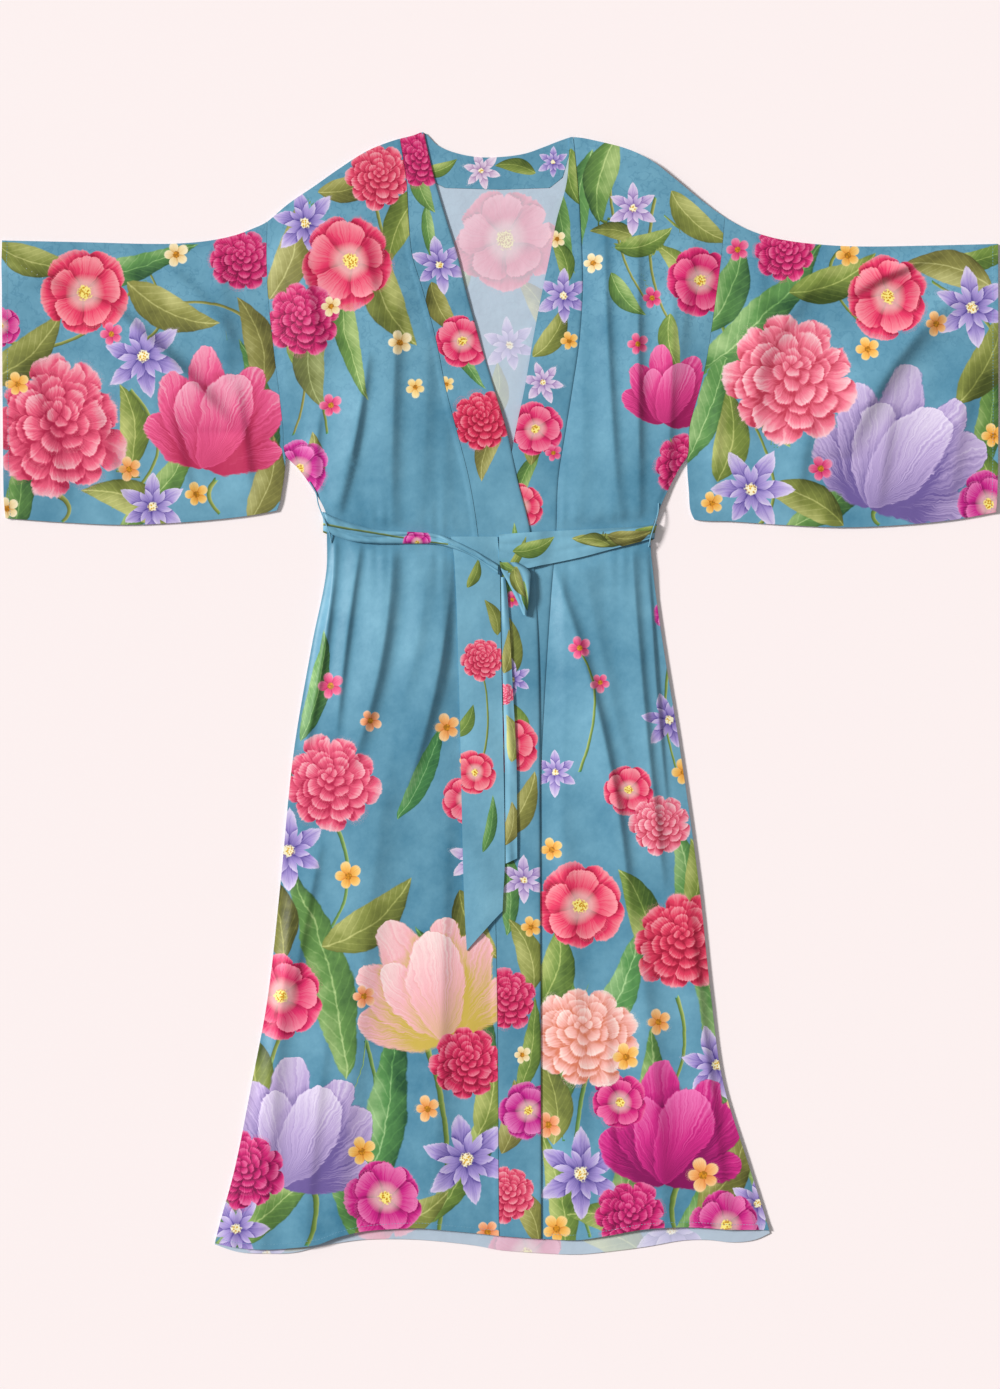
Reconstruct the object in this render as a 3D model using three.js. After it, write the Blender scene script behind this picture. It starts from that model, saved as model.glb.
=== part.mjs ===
// A kimono robe in satin, with wide sleeves, a banded open front and its own tied belt, laid out flat.
// Across (x) runs to the wearer's left, y runs up the robe to the neck, z is the height off the table.
// The drawing below measures heights up the robe from the lowest point of the hem, all in millimetres.
import * as THREE from "three";

const LENGTH = 1302; // lowest point of the hem to the shoulder beside the neck
const CLOTH = 1.3; // wall of one panel
const DOUBLE = 1.6; // wall of a band or belt, cloth folded double and pressed
const SEAM = 0.3; // gap between pieces that are sewn together
const REST = 0.5; // gap between pieces that only lie on each other
const UNDERARM = 928; // height where a sleeve leaves the body
const FRONT_OVERLAP = 3; // the right front lies this far above the back, over the left band
const CHEST_LAYER = 1; // above the crossing the right front comes down to this
const CHEST_FOOT = 965; // between these heights it comes down
const CHEST_HEAD = 1035;
const LEFT_LAYER = 0.6; // how far the left front's free edge lies above the back
const PUFF = 0.8; // how far a panel stands off the one below it, at its middle
const BELT_LOW = 795; // between these heights the back lies on the belt that runs under it
const BELT_HIGH = 864;
const BELT_RAMP = 32; // and comes down to the table over this length
const PRESSED = 0.2; // share of a fold's height that is left where the belt passes over it
const PRESS_FADE = 45; // distance from the belt at which a fold has its whole height again
const FLAT_RIGHT = -42; // from here to the free edge a front lies flat, under the belt's ends
const FLAT_LEFT = 50;
const FLAT_FADE = 26; // the folds die out over this width beside it
const SEAM_SHARE = 0.08; // and over this share of the panel beside its side seam
const SLEEVE_FADE = 0.12; // a sleeve's two layers part over this share of it from the armhole
const SLEEVE_EDGE = 30; // and over this distance from its top and bottom
const SLEEVE_PUFF = 0.96; // how far the upper layer stands off the lower one
const SWELL = 0.6; // how bluntly a fold's ends rise
const BELT_TURN = 4.5; // how far the belt stands out past the side seams as it turns round them
const THREAD = 0.8; // radius of the thread loops at the side seams

const { lerp, clamp, smoothstep } = THREE.MathUtils;

// ---- Cutting tables ---------------------------------------------------------------------------

// Rows of numbers as objects with named columns.
function table(columns, rows) {
  const names = columns.split(" ");
  return rows.map((row) => Object.fromEntries(names.map((name, i) => [name, row[i]])));
}

// A smooth line through one column of a table, read at any value of another column.
function line(rows, from, to) {
  const at = rows.map((row) => row[from]);
  const value = rows.map((row) => row[to]);
  const slope = value.map((_, i) => {
    const before = Math.max(i - 1, 0);
    const after = Math.min(i + 1, value.length - 1);
    return (value[after] - value[before]) / (at[after] - at[before]);
  });
  return (where) => {
    let i = 0;
    while (i < at.length - 2 && where > at[i + 1]) i++;
    const step = at[i + 1] - at[i];
    const s = clamp((where - at[i]) / step, 0, 1);
    const blend = s * s * (3 - 2 * s);
    const bend = slope[i] * s * (1 - s) ** 2 - slope[i + 1] * s * s * (1 - s);
    return lerp(value[i], value[i + 1], blend) + step * bend;
  };
}

// The body's two edges: side seams up to the underarm, then armholes up to the shoulder.
const BODY = table("height right left", [
  [0, -334, 318],
  [30, -327, 312],
  [100, -308, 290],
  [200, -288, 259],
  [300, -269.5, 245],
  [430, -255, 231],
  [580, -240, 210],
  [710, -218, 189],
  [790, -202, 178],
  [835, -201, 175],
  [860, -202, 183],
  [885, -215, 194],
  [912, -234, 208],
  [UNDERARM, -249, 218],
  [960, -252, 220],
  [1005, -257, 232],
  [1040, -261.5, 240],
  [1110, -269, 250.5],
  [1160, -271, 257],
  [1205, -270, 261],
]);

// The front bands: the seam that joins each to its front, and its free edge.
const BANDS = table("height rightSeam rightFree leftFree leftSeam", [
  [0, -1, 48, -8, 41],
  [340, -4, 47, -6, 43],
  [540, -10, 46, -4, 47],
  [650, -13.5, 45.5, -2, 52],
  [760, -19, 42, 1, 59],
  [838, -26, 35, 5, 65],
  [900, -36, 20, 9, 67.5],
  [955, -50, 8, 18, 76],
  [1005, -63, -7, 28.5, 84],
  [1060, -74, -23.5, 38, 92],
  [1120, -90, -40, 49.5, 96],
  [1160, -102, -49.5, 58, 95.5],
  [1200, -106, -62, 65.5, 93.5],
  [1245, -108.5, -75, 77.5, 90.5],
  [1300, -117, -88, 81, 85],
]);

// The hems: the fronts end a little above the back.
const HEMS = table("across front back", [
  [-335, 14, 13],
  [-305, 8, 3],
  [-270, 6, 1],
  [-240, 8, 2],
  [-211, 12, 9],
  [-190, 20, 13],
  [-160, 27, 17],
  [-126, 30, 18],
  [-93, 31, 17],
  [-59, 28, 14],
  [-27, 25, 10],
  [0, 22, 5],
  [56, 18, 1],
  [90, 17, 0],
  [124, 22, 3],
  [170, 30, 9],
  [210, 32, 16],
  [240, 31, 17],
  [270, 29, 14],
  [296, 29, 17],
  [318, 28, 27],
]);

// The line along the tops of the sleeves, over the shoulders and across the neck band.
const TOP = table("across height", [
  [-578, 1177],
  [-485, 1175],
  [-391, 1173],
  [-343, 1176],
  [-308, 1183],
  [-284, 1192],
  [-270, 1199],
  [-246, 1219],
  [-215, 1240],
  [-188, 1259],
  [-155, 1280],
  [-126, 1292],
  [-100, 1299],
  [-88, LENGTH],
  [-73, 1288],
  [-52, 1279],
  [-26, 1274],
  [0, 1274],
  [29, 1278],
  [52, 1286],
  [70, 1293],
  [85, 1297],
  [118, 1291],
  [150, 1282],
  [176, 1269],
  [202, 1249],
  [229, 1227],
  [261, 1204],
  [292, 1188],
  [327, 1178],
  [375, 1172],
  [422, 1170],
  [493, 1171],
  [578, 1173],
]);

// The back's neckline, where the neck band is sewn to it.
const NECKLINE = table("across height", [
  [-100, 1299],
  [-87, 1250],
  [-64, 1238],
  [0, 1236],
  [58, 1238],
  [73, 1250],
  [86, 1296],
]);

// Each sleeve: cuff and inner edge across at a height, and the bottom edge's height along it.
const SLEEVE_ENDS = table("height rightCuff rightInner leftInner leftCuff", [
  [845, -573, -268, 232, 573],
  [856, -574, -264, 224, 575],
  [866, -575, -258, 220.5, 576],
  [880, -576, -254, 219.5, 577],
  [UNDERARM, -576.5, -249, 218, 578],
  [1060, -577.5, -264, 244, 578],
  [1180, -578, -271, 259, 578],
]);
const RIGHT_SLEEVE_HEM = table("across height", [
  [-578, 855],
  [-509, 850],
  [-438, 847],
  [-367, 850],
  [-296, 857],
  [-256, 864],
]);
const LEFT_SLEEVE_HEM = table("across height", [
  [215, 860],
  [226, 853],
  [268, 851],
  [327, 847],
  [398, 844],
  [469, 847],
  [528, 853],
  [578, 862],
]);

// The belt's upper and lower edge along its three stretches.
const BELT_BACK = table("across top low", [
  [-207, 862, 839],
  [-150, 857, 815],
  [0, 851, 806],
  [130, 850, 810],
  [182, 848, 832],
]);
const BELT_RIGHT = table("across top low", [
  [-207, 862, 841],
  [-186, 853, 832],
  [-166, 847, 827],
  [-143, 841, 825],
  [-93, 838, 825],
  [-73, 836, 824],
  [-57, 830, 820],
  [-31, 818, 809],
  [-2, 800, 789],
]);
const BELT_LEFT = table("across top low", [
  [-1.5, 835.5, 805.5],
  [19, 837, 795.5],
  [49, 839, 800],
  [93, 841, 809],
  [131, 843, 819],
  [162, 845, 827],
  [182, 848, 833],
]);

// The belt's hanging ends: left and right edge at each height.
const TAIL_LONG = table("height left right", [
  [353, -38.5, 3.5],
  [399, -41, 3],
  [458, -43, 5.5],
  [597, -46, 3.5],
  [713, -49, 1],
  [806, -53, -0.5],
  [834, -57, -3],
]);
const TAIL_SHORT = table("height left right", [
  [454, 6.5, 20],
  [574, 5.5, 19],
  [654, 3.5, 15],
  [713, 2, 12],
  [760, 1.5, 9],
  [786, 1, 6],
]);
const KNOT = table("height left right", [
  [742, 27, 31],
  [760, 19, 33.5],
  [780, 9, 35],
  [793, 2, 34],
  [803, -0.5, 20],
]);

// Folds in the cloth, each a crest (or, with a rise below 0, a trough) through three points of a
// piece: top, middle and foot. Width is how far it spreads to either side.
const FOLDS = table("piece topX topY midX midY footX footY rise width", [
  ["right", -155, 985, -172, 899, -189, 840, 2.4, 13],
  ["right", -138, 1010, -146, 930, -160, 850, -1.1, 13],
  ["right", -108, 1060, -112, 958, -112, 850, -1, 16],
  ["right", -86, 1030, -90, 940, -92, 850, 0.8, 16],
  ["right", -172, 826, -180, 728, -222, 560, 2.4, 14],
  ["right", -140, 822, -147, 750, -164, 600, 2.4, 15],
  ["right", -118, 822, -122, 719, -160, 560, -1.4, 15],
  ["right", -98, 822, -98, 740, -122, 560, 2, 16],
  ["right", -62, 760, -76, 660, -100, 520, -1.3, 14],
  ["right", -196, 520, -222, 412, -240, 300, 1.8, 18],
  ["right", -120, 470, -140, 300, -168, 60, 1.2, 26],
  ["right", -236, 330, -252, 180, -262, 20, 1.6, 24],
  ["right", -60, 420, -66, 240, -70, 40, 0.9, 20],
  ["left", 133, 1180, 137, 1030, 148, 850, 2.2, 11],
  ["left", 155, 1170, 156, 1010, 158, 850, -0.9, 11],
  ["left", 171, 1150, 171, 1010, 169, 850, 2, 11],
  ["left", 110, 1140, 108, 1000, 108, 860, -0.6, 16],
  ["left", 66, 800, 106, 688, 163, 360, 2.4, 13],
  ["left", 84, 800, 126, 670, 180, 380, -1.2, 12],
  ["left", 158, 800, 170, 640, 190, 430, 2.2, 10],
  ["left", 172, 790, 186, 650, 200, 520, -0.8, 9],
  ["left", 90, 480, 92, 300, 96, 60, 1, 24],
  ["left", 176, 360, 200, 200, 226, 50, 1.6, 22],
  ["left", 248, 240, 262, 150, 284, 40, 1.2, 18],
  ["sleeveRight", -556, 1172, -520, 1138, -452, 1096, 1.9, 26],
  ["sleeveRight", -440, 1110, -367, 1050, -290, 950, -1.2, 34],
  ["sleeveRight", -476, 1085, -420, 1010, -360, 930, 1.8, 34],
  ["sleeveRight", -318, 1150, -330, 1060, -340, 960, 1, 24],
  ["sleeveRight", -540, 1040, -520, 960, -500, 880, 0.9, 30],
  ["sleeveLeft", 557, 1168, 500, 1138, 415, 1098, 1.9, 28],
  ["sleeveLeft", 512, 1115, 460, 1050, 414, 985, 1.8, 30],
  ["sleeveLeft", 420, 1120, 380, 1050, 330, 960, -1.1, 32],
  ["sleeveLeft", 306, 1150, 300, 1060, 296, 960, 1.2, 22],
  ["sleeveLeft", 540, 1030, 528, 960, 520, 890, 0.8, 26],
]);

// The folds' height at a point of a piece: each is a bell across its line, and rises and dies along it.
function folded(piece, x, y) {
  let sum = 0;
  for (const fold of FOLDS) {
    if (fold.piece !== piece || y > fold.topY || y < fold.footY) continue;
    const along = (fold.topY - y) / (fold.topY - fold.footY);
    const middle = (fold.topY - fold.midY) / (fold.topY - fold.footY);
    const bow = fold.midX - lerp(fold.topX, fold.footX, middle);
    const centre = lerp(fold.topX, fold.footX, along)
      + (bow * along * (1 - along)) / (middle * (1 - middle));
    const swell = Math.sin(Math.PI * along) ** SWELL;
    sum += fold.rise * swell * Math.exp(-(((x - centre) / fold.width) ** 2));
  }
  return sum;
}

// ---- Heights of the layers above the table ------------------------------------------------------

const side = { right: line(BODY, "height", "right"), left: line(BODY, "height", "left") };
const band = {
  rightSeam: line(BANDS, "height", "rightSeam"),
  rightFree: line(BANDS, "height", "rightFree"),
  leftFree: line(BANDS, "height", "leftFree"),
  leftSeam: line(BANDS, "height", "leftSeam"),
};
const top = line(TOP, "across", "height");

// The back's underside: flat on the table, and up over the belt that runs beneath it.
function underBack(y) {
  const rise = Math.min((y - BELT_LOW) / BELT_RAMP, (BELT_HIGH - y) / BELT_RAMP) + 1;
  return (CLOTH + SEAM) * clamp(rise, 0, 1);
}

// The belt presses the folds flat where it passes over them.
function pressed(y) {
  const off = Math.max(BELT_LOW - y, y - BELT_HIGH, 0);
  return lerp(PRESSED, 1, smoothstep(off, 0, PRESS_FADE));
}

// A sewn armhole keeps its two layers a little apart between underarm and shoulder.
function armholeRise(x, y) {
  const s = clamp((y - UNDERARM) / (top(x) - UNDERARM), 0, 1);
  return PUFF * 4 * s * (1 - s);
}

// How far a front's underside lies above the back, between its side seam (0) and its band (1).
function underFront(piece, x, y) {
  const right = piece === "right";
  const edge = side[piece](y);
  const seam = right ? band.rightSeam(y) : band.leftSeam(y);
  const s = clamp((x - edge) / (seam - edge), 0, 1);
  const overlap = lerp(FRONT_OVERLAP, CHEST_LAYER, smoothstep(y, CHEST_FOOT, CHEST_HEAD));
  const inner = right ? overlap : LEFT_LAYER;
  const clear = smoothstep(right ? FLAT_RIGHT - x : x - FLAT_LEFT, 0, FLAT_FADE);
  const puff = PUFF * 4 * s * (1 - s) * pressed(y);
  const folds = folded(piece, x, y) * pressed(y) * clear * smoothstep(s, 0, SEAM_SHARE);
  const lift = lerp(armholeRise(x, y), inner - SEAM, s ** 3);
  return underBack(y) + CLOTH + SEAM + Math.max(lift + puff + folds, 0);
}

// The level of the right band's top, where the belt's ends lie.
const overRightBand = (y) => underBack(y) + CLOTH + FRONT_OVERLAP + DOUBLE;

// ---- Walls of cloth ---------------------------------------------------------------------------

// A closed wall over a net of points: at(i, j) gives x, y, the underside's z and the top side's z,
// with i running across and j up the piece.
function wall(columns, rows, at) {
  const points = [];
  for (const face of ["under", "over"])
    for (let j = 0; j <= rows; j++)
      for (let i = 0; i <= columns; i++) {
        const p = at(i, j);
        points.push(p.x, p.y, p[face]);
      }
  const over = (columns + 1) * (rows + 1);
  const faces = [];
  const quad = (a, b, c, d) => faces.push(a, b, c, a, c, d);
  const id = (i, j) => j * (columns + 1) + i;
  for (let j = 0; j < rows; j++)
    for (let i = 0; i < columns; i++) {
      quad(over + id(i, j), over + id(i + 1, j), over + id(i + 1, j + 1), over + id(i, j + 1));
      quad(id(i, j), id(i, j + 1), id(i + 1, j + 1), id(i + 1, j));
    }
  for (let i = 0; i < columns; i++) {
    quad(id(i, 0), id(i + 1, 0), over + id(i + 1, 0), over + id(i, 0));
    quad(id(i + 1, rows), id(i, rows), over + id(i, rows), over + id(i + 1, rows));
  }
  for (let j = 0; j < rows; j++) {
    quad(id(0, j + 1), id(0, j), over + id(0, j), over + id(0, j + 1));
    quad(id(columns, j), id(columns, j + 1), over + id(columns, j + 1), over + id(columns, j));
  }
  const geometry = new THREE.BufferGeometry();
  geometry.setAttribute("position", new THREE.Float32BufferAttribute(points, 3));
  geometry.setIndex(faces);
  geometry.computeVertexNormals();
  return geometry;
}

const robe = new THREE.Group();
robe.position.y = -LENGTH / 2;

const satin = { roughness: 0.45, metalness: 0 };
const TEAL = 0x65a0bb;
const BELT_TEAL = 0x6aa5bf;

function sew(name, geometry, color = TEAL) {
  const mesh = new THREE.Mesh(geometry, new THREE.MeshStandardMaterial({ color, ...satin }));
  mesh.name = name;
  robe.add(mesh);
}

// Where a line across the robe meets the fraction u between two edges.
function meet(across, left, right, u) {
  let y = UNDERARM;
  for (let pass = 0; pass < 12; pass++) y = across(lerp(left(y), right(y), u));
  return y;
}

// The heights of a body panel's rows in one column: evenly between stations that all panels share.
const STATIONS = table("height steps", [
  [700, 12],
  [BELT_LOW - BELT_RAMP, 2],
  [BELT_LOW, 1],
  [BELT_HIGH, 3],
  [BELT_HIGH + BELT_RAMP, 1],
  [UNDERARM, 1],
]);
const YOKE_ROWS = 10;
function rungs(bottom, shoulder) {
  const heights = [bottom];
  for (const { height, steps } of [...STATIONS, { height: shoulder, steps: YOKE_ROWS }]) {
    const from = heights.at(-1);
    for (let k = 1; k <= steps; k++) heights.push(lerp(from, height, k / steps));
  }
  return heights;
}

// A panel of the body between two edges, its hem and its top line.
function panel({ left, right, hem, shoulder, columns, under, thick }) {
  const net = columns.map((u) => {
    const bottom = meet(hem, left, right, u);
    const upper = meet(shoulder, left, right, u);
    return rungs(bottom, upper).map((y) => {
      const x = lerp(left(y), right(y), u);
      const z = under(x, y);
      return { x, y, under: z, over: z + thick };
    });
  });
  return wall(net.length - 1, net[0].length - 1, (i, j) => net[i][j]);
}

const even = (count) => Array.from({ length: count + 1 }, (_, i) => i / count);
const inset = (edge, by) => (y) => edge(y) + by;
const frontHem = line(HEMS, "across", "front");
const backHem = line(HEMS, "across", "back");

// ---- Back -------------------------------------------------------------------------------------

// One width from hem to shoulders, with a shallow scooped neckline. Columns are set at the yoke.
const YOKE = [
  -270, -238, -206, -175, -145, -120, -100, -87, -64, -32, 0, 30, 58, 73, 86, 110, 140, 170, 200, 230, 261,
];
const neckline = (x) => {
  const i = clamp(NECKLINE.findIndex((point) => point.across >= x), 1, NECKLINE.length - 1);
  const [from, to] = [NECKLINE[i - 1], NECKLINE[i]];
  return lerp(from.height, to.height, (x - from.across) / (to.across - from.across));
};
const inNeck = (x) => x > NECKLINE[0].across && x < NECKLINE.at(-1).across;
sew("back", panel({
  left: inset(side.right, SEAM / 2),
  right: inset(side.left, -SEAM / 2),
  hem: backHem,
  shoulder: (x) => (inNeck(x) ? neckline(x) : top(x)),
  columns: YOKE.map((x) => (x - YOKE[0]) / (YOKE.at(-1) - YOKE[0])),
  under: (x, y) => underBack(y),
  thick: CLOTH,
}));

// ---- Back neck band ----------------------------------------------------------------------------

// A double strip standing up from the neckline to the neck edge.
const NECK_COLUMNS = [-96, -87, -76, -64, -48, -32, -16, 0, 15, 30, 44, 58, 66, 73, 82];
const NECK_ROWS = 3;
const aboveSeam = (x) => Math.max(neckline(x - SEAM), neckline(x), neckline(x + SEAM)) + SEAM;
sew("neckband_back", wall(NECK_COLUMNS.length - 1, NECK_ROWS, (i, j) => {
  const x = NECK_COLUMNS[i];
  return { x, y: lerp(aboveSeam(x), top(x), j / NECK_ROWS), under: 0, over: DOUBLE };
}));

// ---- Fronts and their bands ---------------------------------------------------------------------

const FRONT_COLUMNS = 17;
const BAND_COLUMNS = 3;
sew("front_left", panel({
  left: inset(band.leftSeam, SEAM / 2),
  right: inset(side.left, -SEAM / 2),
  hem: frontHem,
  shoulder: top,
  columns: even(FRONT_COLUMNS),
  under: (x, y) => underFront("left", x, y),
  thick: CLOTH,
}));
sew("band_left", panel({
  left: band.leftFree,
  right: inset(band.leftSeam, -SEAM / 2),
  hem: frontHem,
  shoulder: top,
  columns: even(BAND_COLUMNS),
  under: (x, y) => underFront("left", band.leftSeam(y), y),
  thick: DOUBLE,
}));
sew("front_right", panel({
  left: inset(side.right, SEAM / 2),
  right: inset(band.rightSeam, -SEAM / 2),
  hem: frontHem,
  shoulder: top,
  columns: even(FRONT_COLUMNS),
  under: (x, y) => underFront("right", x, y),
  thick: CLOTH,
}));
sew("band_right", panel({
  left: inset(band.rightSeam, SEAM / 2),
  right: band.rightFree,
  hem: frontHem,
  shoulder: top,
  columns: even(BAND_COLUMNS),
  under: (x, y) => underFront("right", band.rightSeam(y), y),
  thick: DOUBLE,
}));

// ---- Sleeves ----------------------------------------------------------------------------------

// Two layers, sewn together along the top, the bottom and below the armhole, and open at the cuff.
const SLEEVE_COLUMNS = 14;
const SLEEVE_LOW_ROWS = 3;
function sleeve(name, wearerSide, cuff, inner, hem) {
  const sign = wearerSide === "right" ? -1 : 1;
  const armhole = (y) => (y > UNDERARM ? side[wearerSide](y) : inner(y)) + (sign * SEAM) / 2;
  const [left, right] = sign < 0 ? [cuff, armhole] : [armhole, cuff];
  const net = even(SLEEVE_COLUMNS).map((u) => {
    const bottom = meet(hem, left, right, u);
    const upper = meet(top, left, right, u);
    const low = even(SLEEVE_LOW_ROWS).map((v) => lerp(bottom, UNDERARM, v));
    const high = even(YOKE_ROWS).slice(1).map((v) => lerp(UNDERARM, upper, v));
    return [...low, ...high].map((y) => ({
      x: lerp(left(y), right(y), u),
      y,
      closed: clamp((y - bottom) / SLEEVE_EDGE, 0, 1) * clamp((upper - y) / SLEEVE_EDGE, 0, 1),
      fromArmhole: sign < 0 ? 1 - u : u,
    }));
  });
  const layer = (under) =>
    wall(SLEEVE_COLUMNS, net[0].length - 1, (i, j) => {
      const p = net[i][j];
      const z = under(p);
      return { x: p.x, y: p.y, under: z, over: z + CLOTH };
    });
  sew(`${name}_back`, layer(() => 0));
  sew(`${name}_front`, layer(({ x, y, closed, fromArmhole }) => {
    const away = smoothstep(fromArmhole, 0, SLEEVE_FADE);
    const body = armholeRise(x, y);
    const folds = folded(`sleeve${wearerSide === "right" ? "Right" : "Left"}`, x, y);
    const open = Math.max(SLEEVE_PUFF + folds, 0) * closed;
    return CLOTH + SEAM + lerp(body, open, away);
  }));
}
sleeve(
  "sleeve_right",
  "right",
  line(SLEEVE_ENDS, "height", "rightCuff"),
  line(SLEEVE_ENDS, "height", "rightInner"),
  line(RIGHT_SLEEVE_HEM, "across", "height"),
);
sleeve(
  "sleeve_left",
  "left",
  line(SLEEVE_ENDS, "height", "leftCuff"),
  line(SLEEVE_ENDS, "height", "leftInner"),
  line(LEFT_SLEEVE_HEM, "across", "height"),
);

// ---- Belt -------------------------------------------------------------------------------------

// A stretch of belt between its upper and lower edge. stations gives x at a height for each column;
// under and thick give its underside at a point and its wall, with v running up across the belt.
function belt(name, edges, stations, rows, under, thick) {
  const upper = line(edges, "across", "top");
  const lower = line(edges, "across", "low");
  sew(name, wall(stations.length - 1, rows, (i, j) => {
    const v = j / rows;
    let x = 0;
    let y = (BELT_LOW + BELT_HIGH) / 2;
    for (let pass = 0; pass < 6; pass++) {
      x = stations[i](y);
      y = lerp(lower(x), upper(x), v);
    }
    const z = under(x, y);
    return { x, y, under: z, over: z + thick(x, v) };
  }), BELT_TEAL);
}

const CLEAR = 1.8; // past the side seam, where the belt starts up on to the front
const STEP = 0.1; // half the width of that step
const TURN_INSET = 8; // the stretch beneath has a column this far inside the seams
const TURN_HEIGHT = 850; // height of the belt where it turns

// Columns that follow a side seam: the belt stands out past it, drops to the stretch beneath and
// steps up on to the front just outside the seam.
const TURN = [-BELT_TURN, -3, -CLEAR - STEP, -CLEAR + STEP];
const turnRight = TURN.map((out) => (y) => side.right(y) + out);
const turnLeft = TURN.map((out) => (y) => side.left(y) - out).reverse();
const fixed = (list) => list.map((x) => () => x);
const outside = (x, y) => x < side.right(y) - CLEAR || x > side.left(y) + CLEAR;

// Under the back, flat on the table.
const BACK_STRETCH = [-150, -95, -40, 20, 75, 130];
const ends = [turnRight[0], (y) => side.right(y) + TURN_INSET, ...fixed(BACK_STRETCH)];
belt("belt_back", BELT_BACK, [...ends, (y) => side.left(y) - TURN_INSET, turnLeft[3]], 2, () => 0, () => CLOTH);

// The long end hangs from the knot, flat, with a slanted cut at its foot.
const LONG_TOP = 833;
const underLong = (y) => overRightBand(y) + REST;
function tail(name, edges, heights, columns, under, thick) {
  const left = line(edges, "height", "left");
  const right = line(edges, "height", "right");
  sew(name, wall(columns, heights.length - 1, (i, j) => {
    const u = i / columns;
    const y = typeof heights[j] === "function" ? heights[j](u) : heights[j];
    const z = under(y);
    return { x: lerp(left(y), right(y), u), y, under: z, over: z + thick(u) };
  }), BELT_TEAL);
}
const LONG_FOOT = { left: 353, right: 399 };
const LONG_ROWS = [440, 490, 540, 590, 640, 690, 730, BELT_LOW - BELT_RAMP, BELT_LOW, 815, LONG_TOP];
const slantedFoot = (u) => lerp(LONG_FOOT.left, LONG_FOOT.right, u);
tail("tail_long", TAIL_LONG, [slantedFoot, ...LONG_ROWS], 3, underLong, () => DOUBLE);

// The short end hangs beside it, folded narrow.
const SHORT_ROWS = [454, 500, 560, 610, 660, 713, 740, BELT_LOW - BELT_RAMP, 786];
tail("tail_short", TAIL_SHORT, SHORT_ROWS, 2, underLong, () => DOUBLE);

// The wearer's right stretch is twisted into a roll, and climbs over the long end into the knot.
const ROLL = 3.4; // height of the roll
const CLIMB_FOOT = -72; // between these it climbs on to the long end
const CLIMB_HEAD = -58;
const RIGHT_STRETCH = [-196, -186, -172, -158, -143, -126, -109, -93, -80, -68, -62, -52, -40, -28, -15, -2.5];
const panelRight = (x, y) => underFront("right", x, y) + CLOTH;
belt("belt_right", BELT_RIGHT, [...turnRight, ...fixed(RIGHT_STRETCH)], 4, (x, y) => {
  if (outside(x, y)) return CLOTH + SEAM;
  const climb = smoothstep(x, CLIMB_FOOT, CLIMB_HEAD);
  return lerp(Math.max(panelRight(x, y), panelRight(x, BELT_LOW)) + REST, underLong(y) + DOUBLE + REST, climb);
}, (x, v) => DOUBLE + (outside(x, TURN_HEIGHT) ? 0 : (ROLL - DOUBLE) * Math.sin(Math.PI * v)));

// The wearer's left stretch lies flat, and steps down from the right band to the left front.
const LEFT_STRETCH = [12, 24, 33, 40, 48, 56, 64, 76, 90, 105, 120, 134, 148, 160, 168];
const DROP_HEAD = 42; // between these it comes down from the band
const DROP_FOOT = 64;
const besideLong = (y) => line(TAIL_LONG, "height", "right")(y) + REST;
const panelLeft = (x, y) => underFront("left", x, y) + CLOTH;
belt("belt_left", BELT_LEFT, [besideLong, ...fixed(LEFT_STRETCH), ...turnLeft], 3, (x, y) => {
  if (outside(x, y)) return CLOTH + SEAM;
  const onFront = Math.max(panelLeft(x, y), panelLeft(x, BELT_LOW)) + DOUBLE - CLOTH + REST;
  return lerp(underLong(y), onFront, smoothstep(x, DROP_HEAD, DROP_FOOT));
}, () => DOUBLE);

// The knot: the short end's fold, wrapped over the belt and drawn down to a point.
const KNOT_ROWS = [742, 751, 760, 770, 780, 787, 793, 798, 803];
const KNOT_HEIGHT = 3.2;
const KNOT_DROP = 1.6; // its point comes down this far, past the belt's lower edge
const DROP_FROM = 40; // distance below its head where it starts down
const DROP_TO = 61;
tail(
  "knot",
  KNOT,
  KNOT_ROWS,
  5,
  (y) => {
    const drop = smoothstep(KNOT_ROWS.at(-1) - y, DROP_FROM, DROP_TO);
    return overRightBand(BELT_LOW) + REST + DOUBLE + REST - KNOT_DROP * drop;
  },
  (u) => DOUBLE + (KNOT_HEIGHT - DOUBLE) * Math.sin(Math.PI * u),
);

// ---- Thread loops -----------------------------------------------------------------------------

// A chain of thread at each side seam, over the belt where it turns round the side.
const LOOPS = table("side x y z", [
  ["right", -221, 897, 4.1],
  ["right", -213.5, 884, 4.8],
  ["right", -211, 872, 5.4],
  ["right", -207.5, 862, 7.4],
  ["right", -203, 851, 9.7],
  ["right", -198, 838, 8.3],
  ["right", -195.5, 826, 5.8],
  ["left", 184, 872, 5.2],
  ["left", 183.5, 862, 6.6],
  ["left", 181, 852, 8.1],
  ["left", 178, 843, 8.6],
  ["left", 175, 833, 8.2],
  ["left", 172.5, 821, 5.8],
]);
for (const wearerSide of ["right", "left"]) {
  const points = LOOPS.filter((row) => row.side === wearerSide);
  const path = new THREE.CatmullRomCurve3(points.map((p) => new THREE.Vector3(p.x, p.y, p.z)));
  const section = new THREE.Shape();
  for (let k = 0; k < 6; k++) {
    const angle = (k * Math.PI) / 3;
    const corner = [THREAD * Math.cos(angle), THREAD * Math.sin(angle)];
    k ? section.lineTo(...corner) : section.moveTo(...corner);
  }
  section.closePath();
  const tube = { steps: 12, bevelEnabled: false, extrudePath: path };
  sew(`loop_${wearerSide}`, new THREE.ExtrudeGeometry(section, tube), BELT_TEAL);
}

export default robe;
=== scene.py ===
import math

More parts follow.
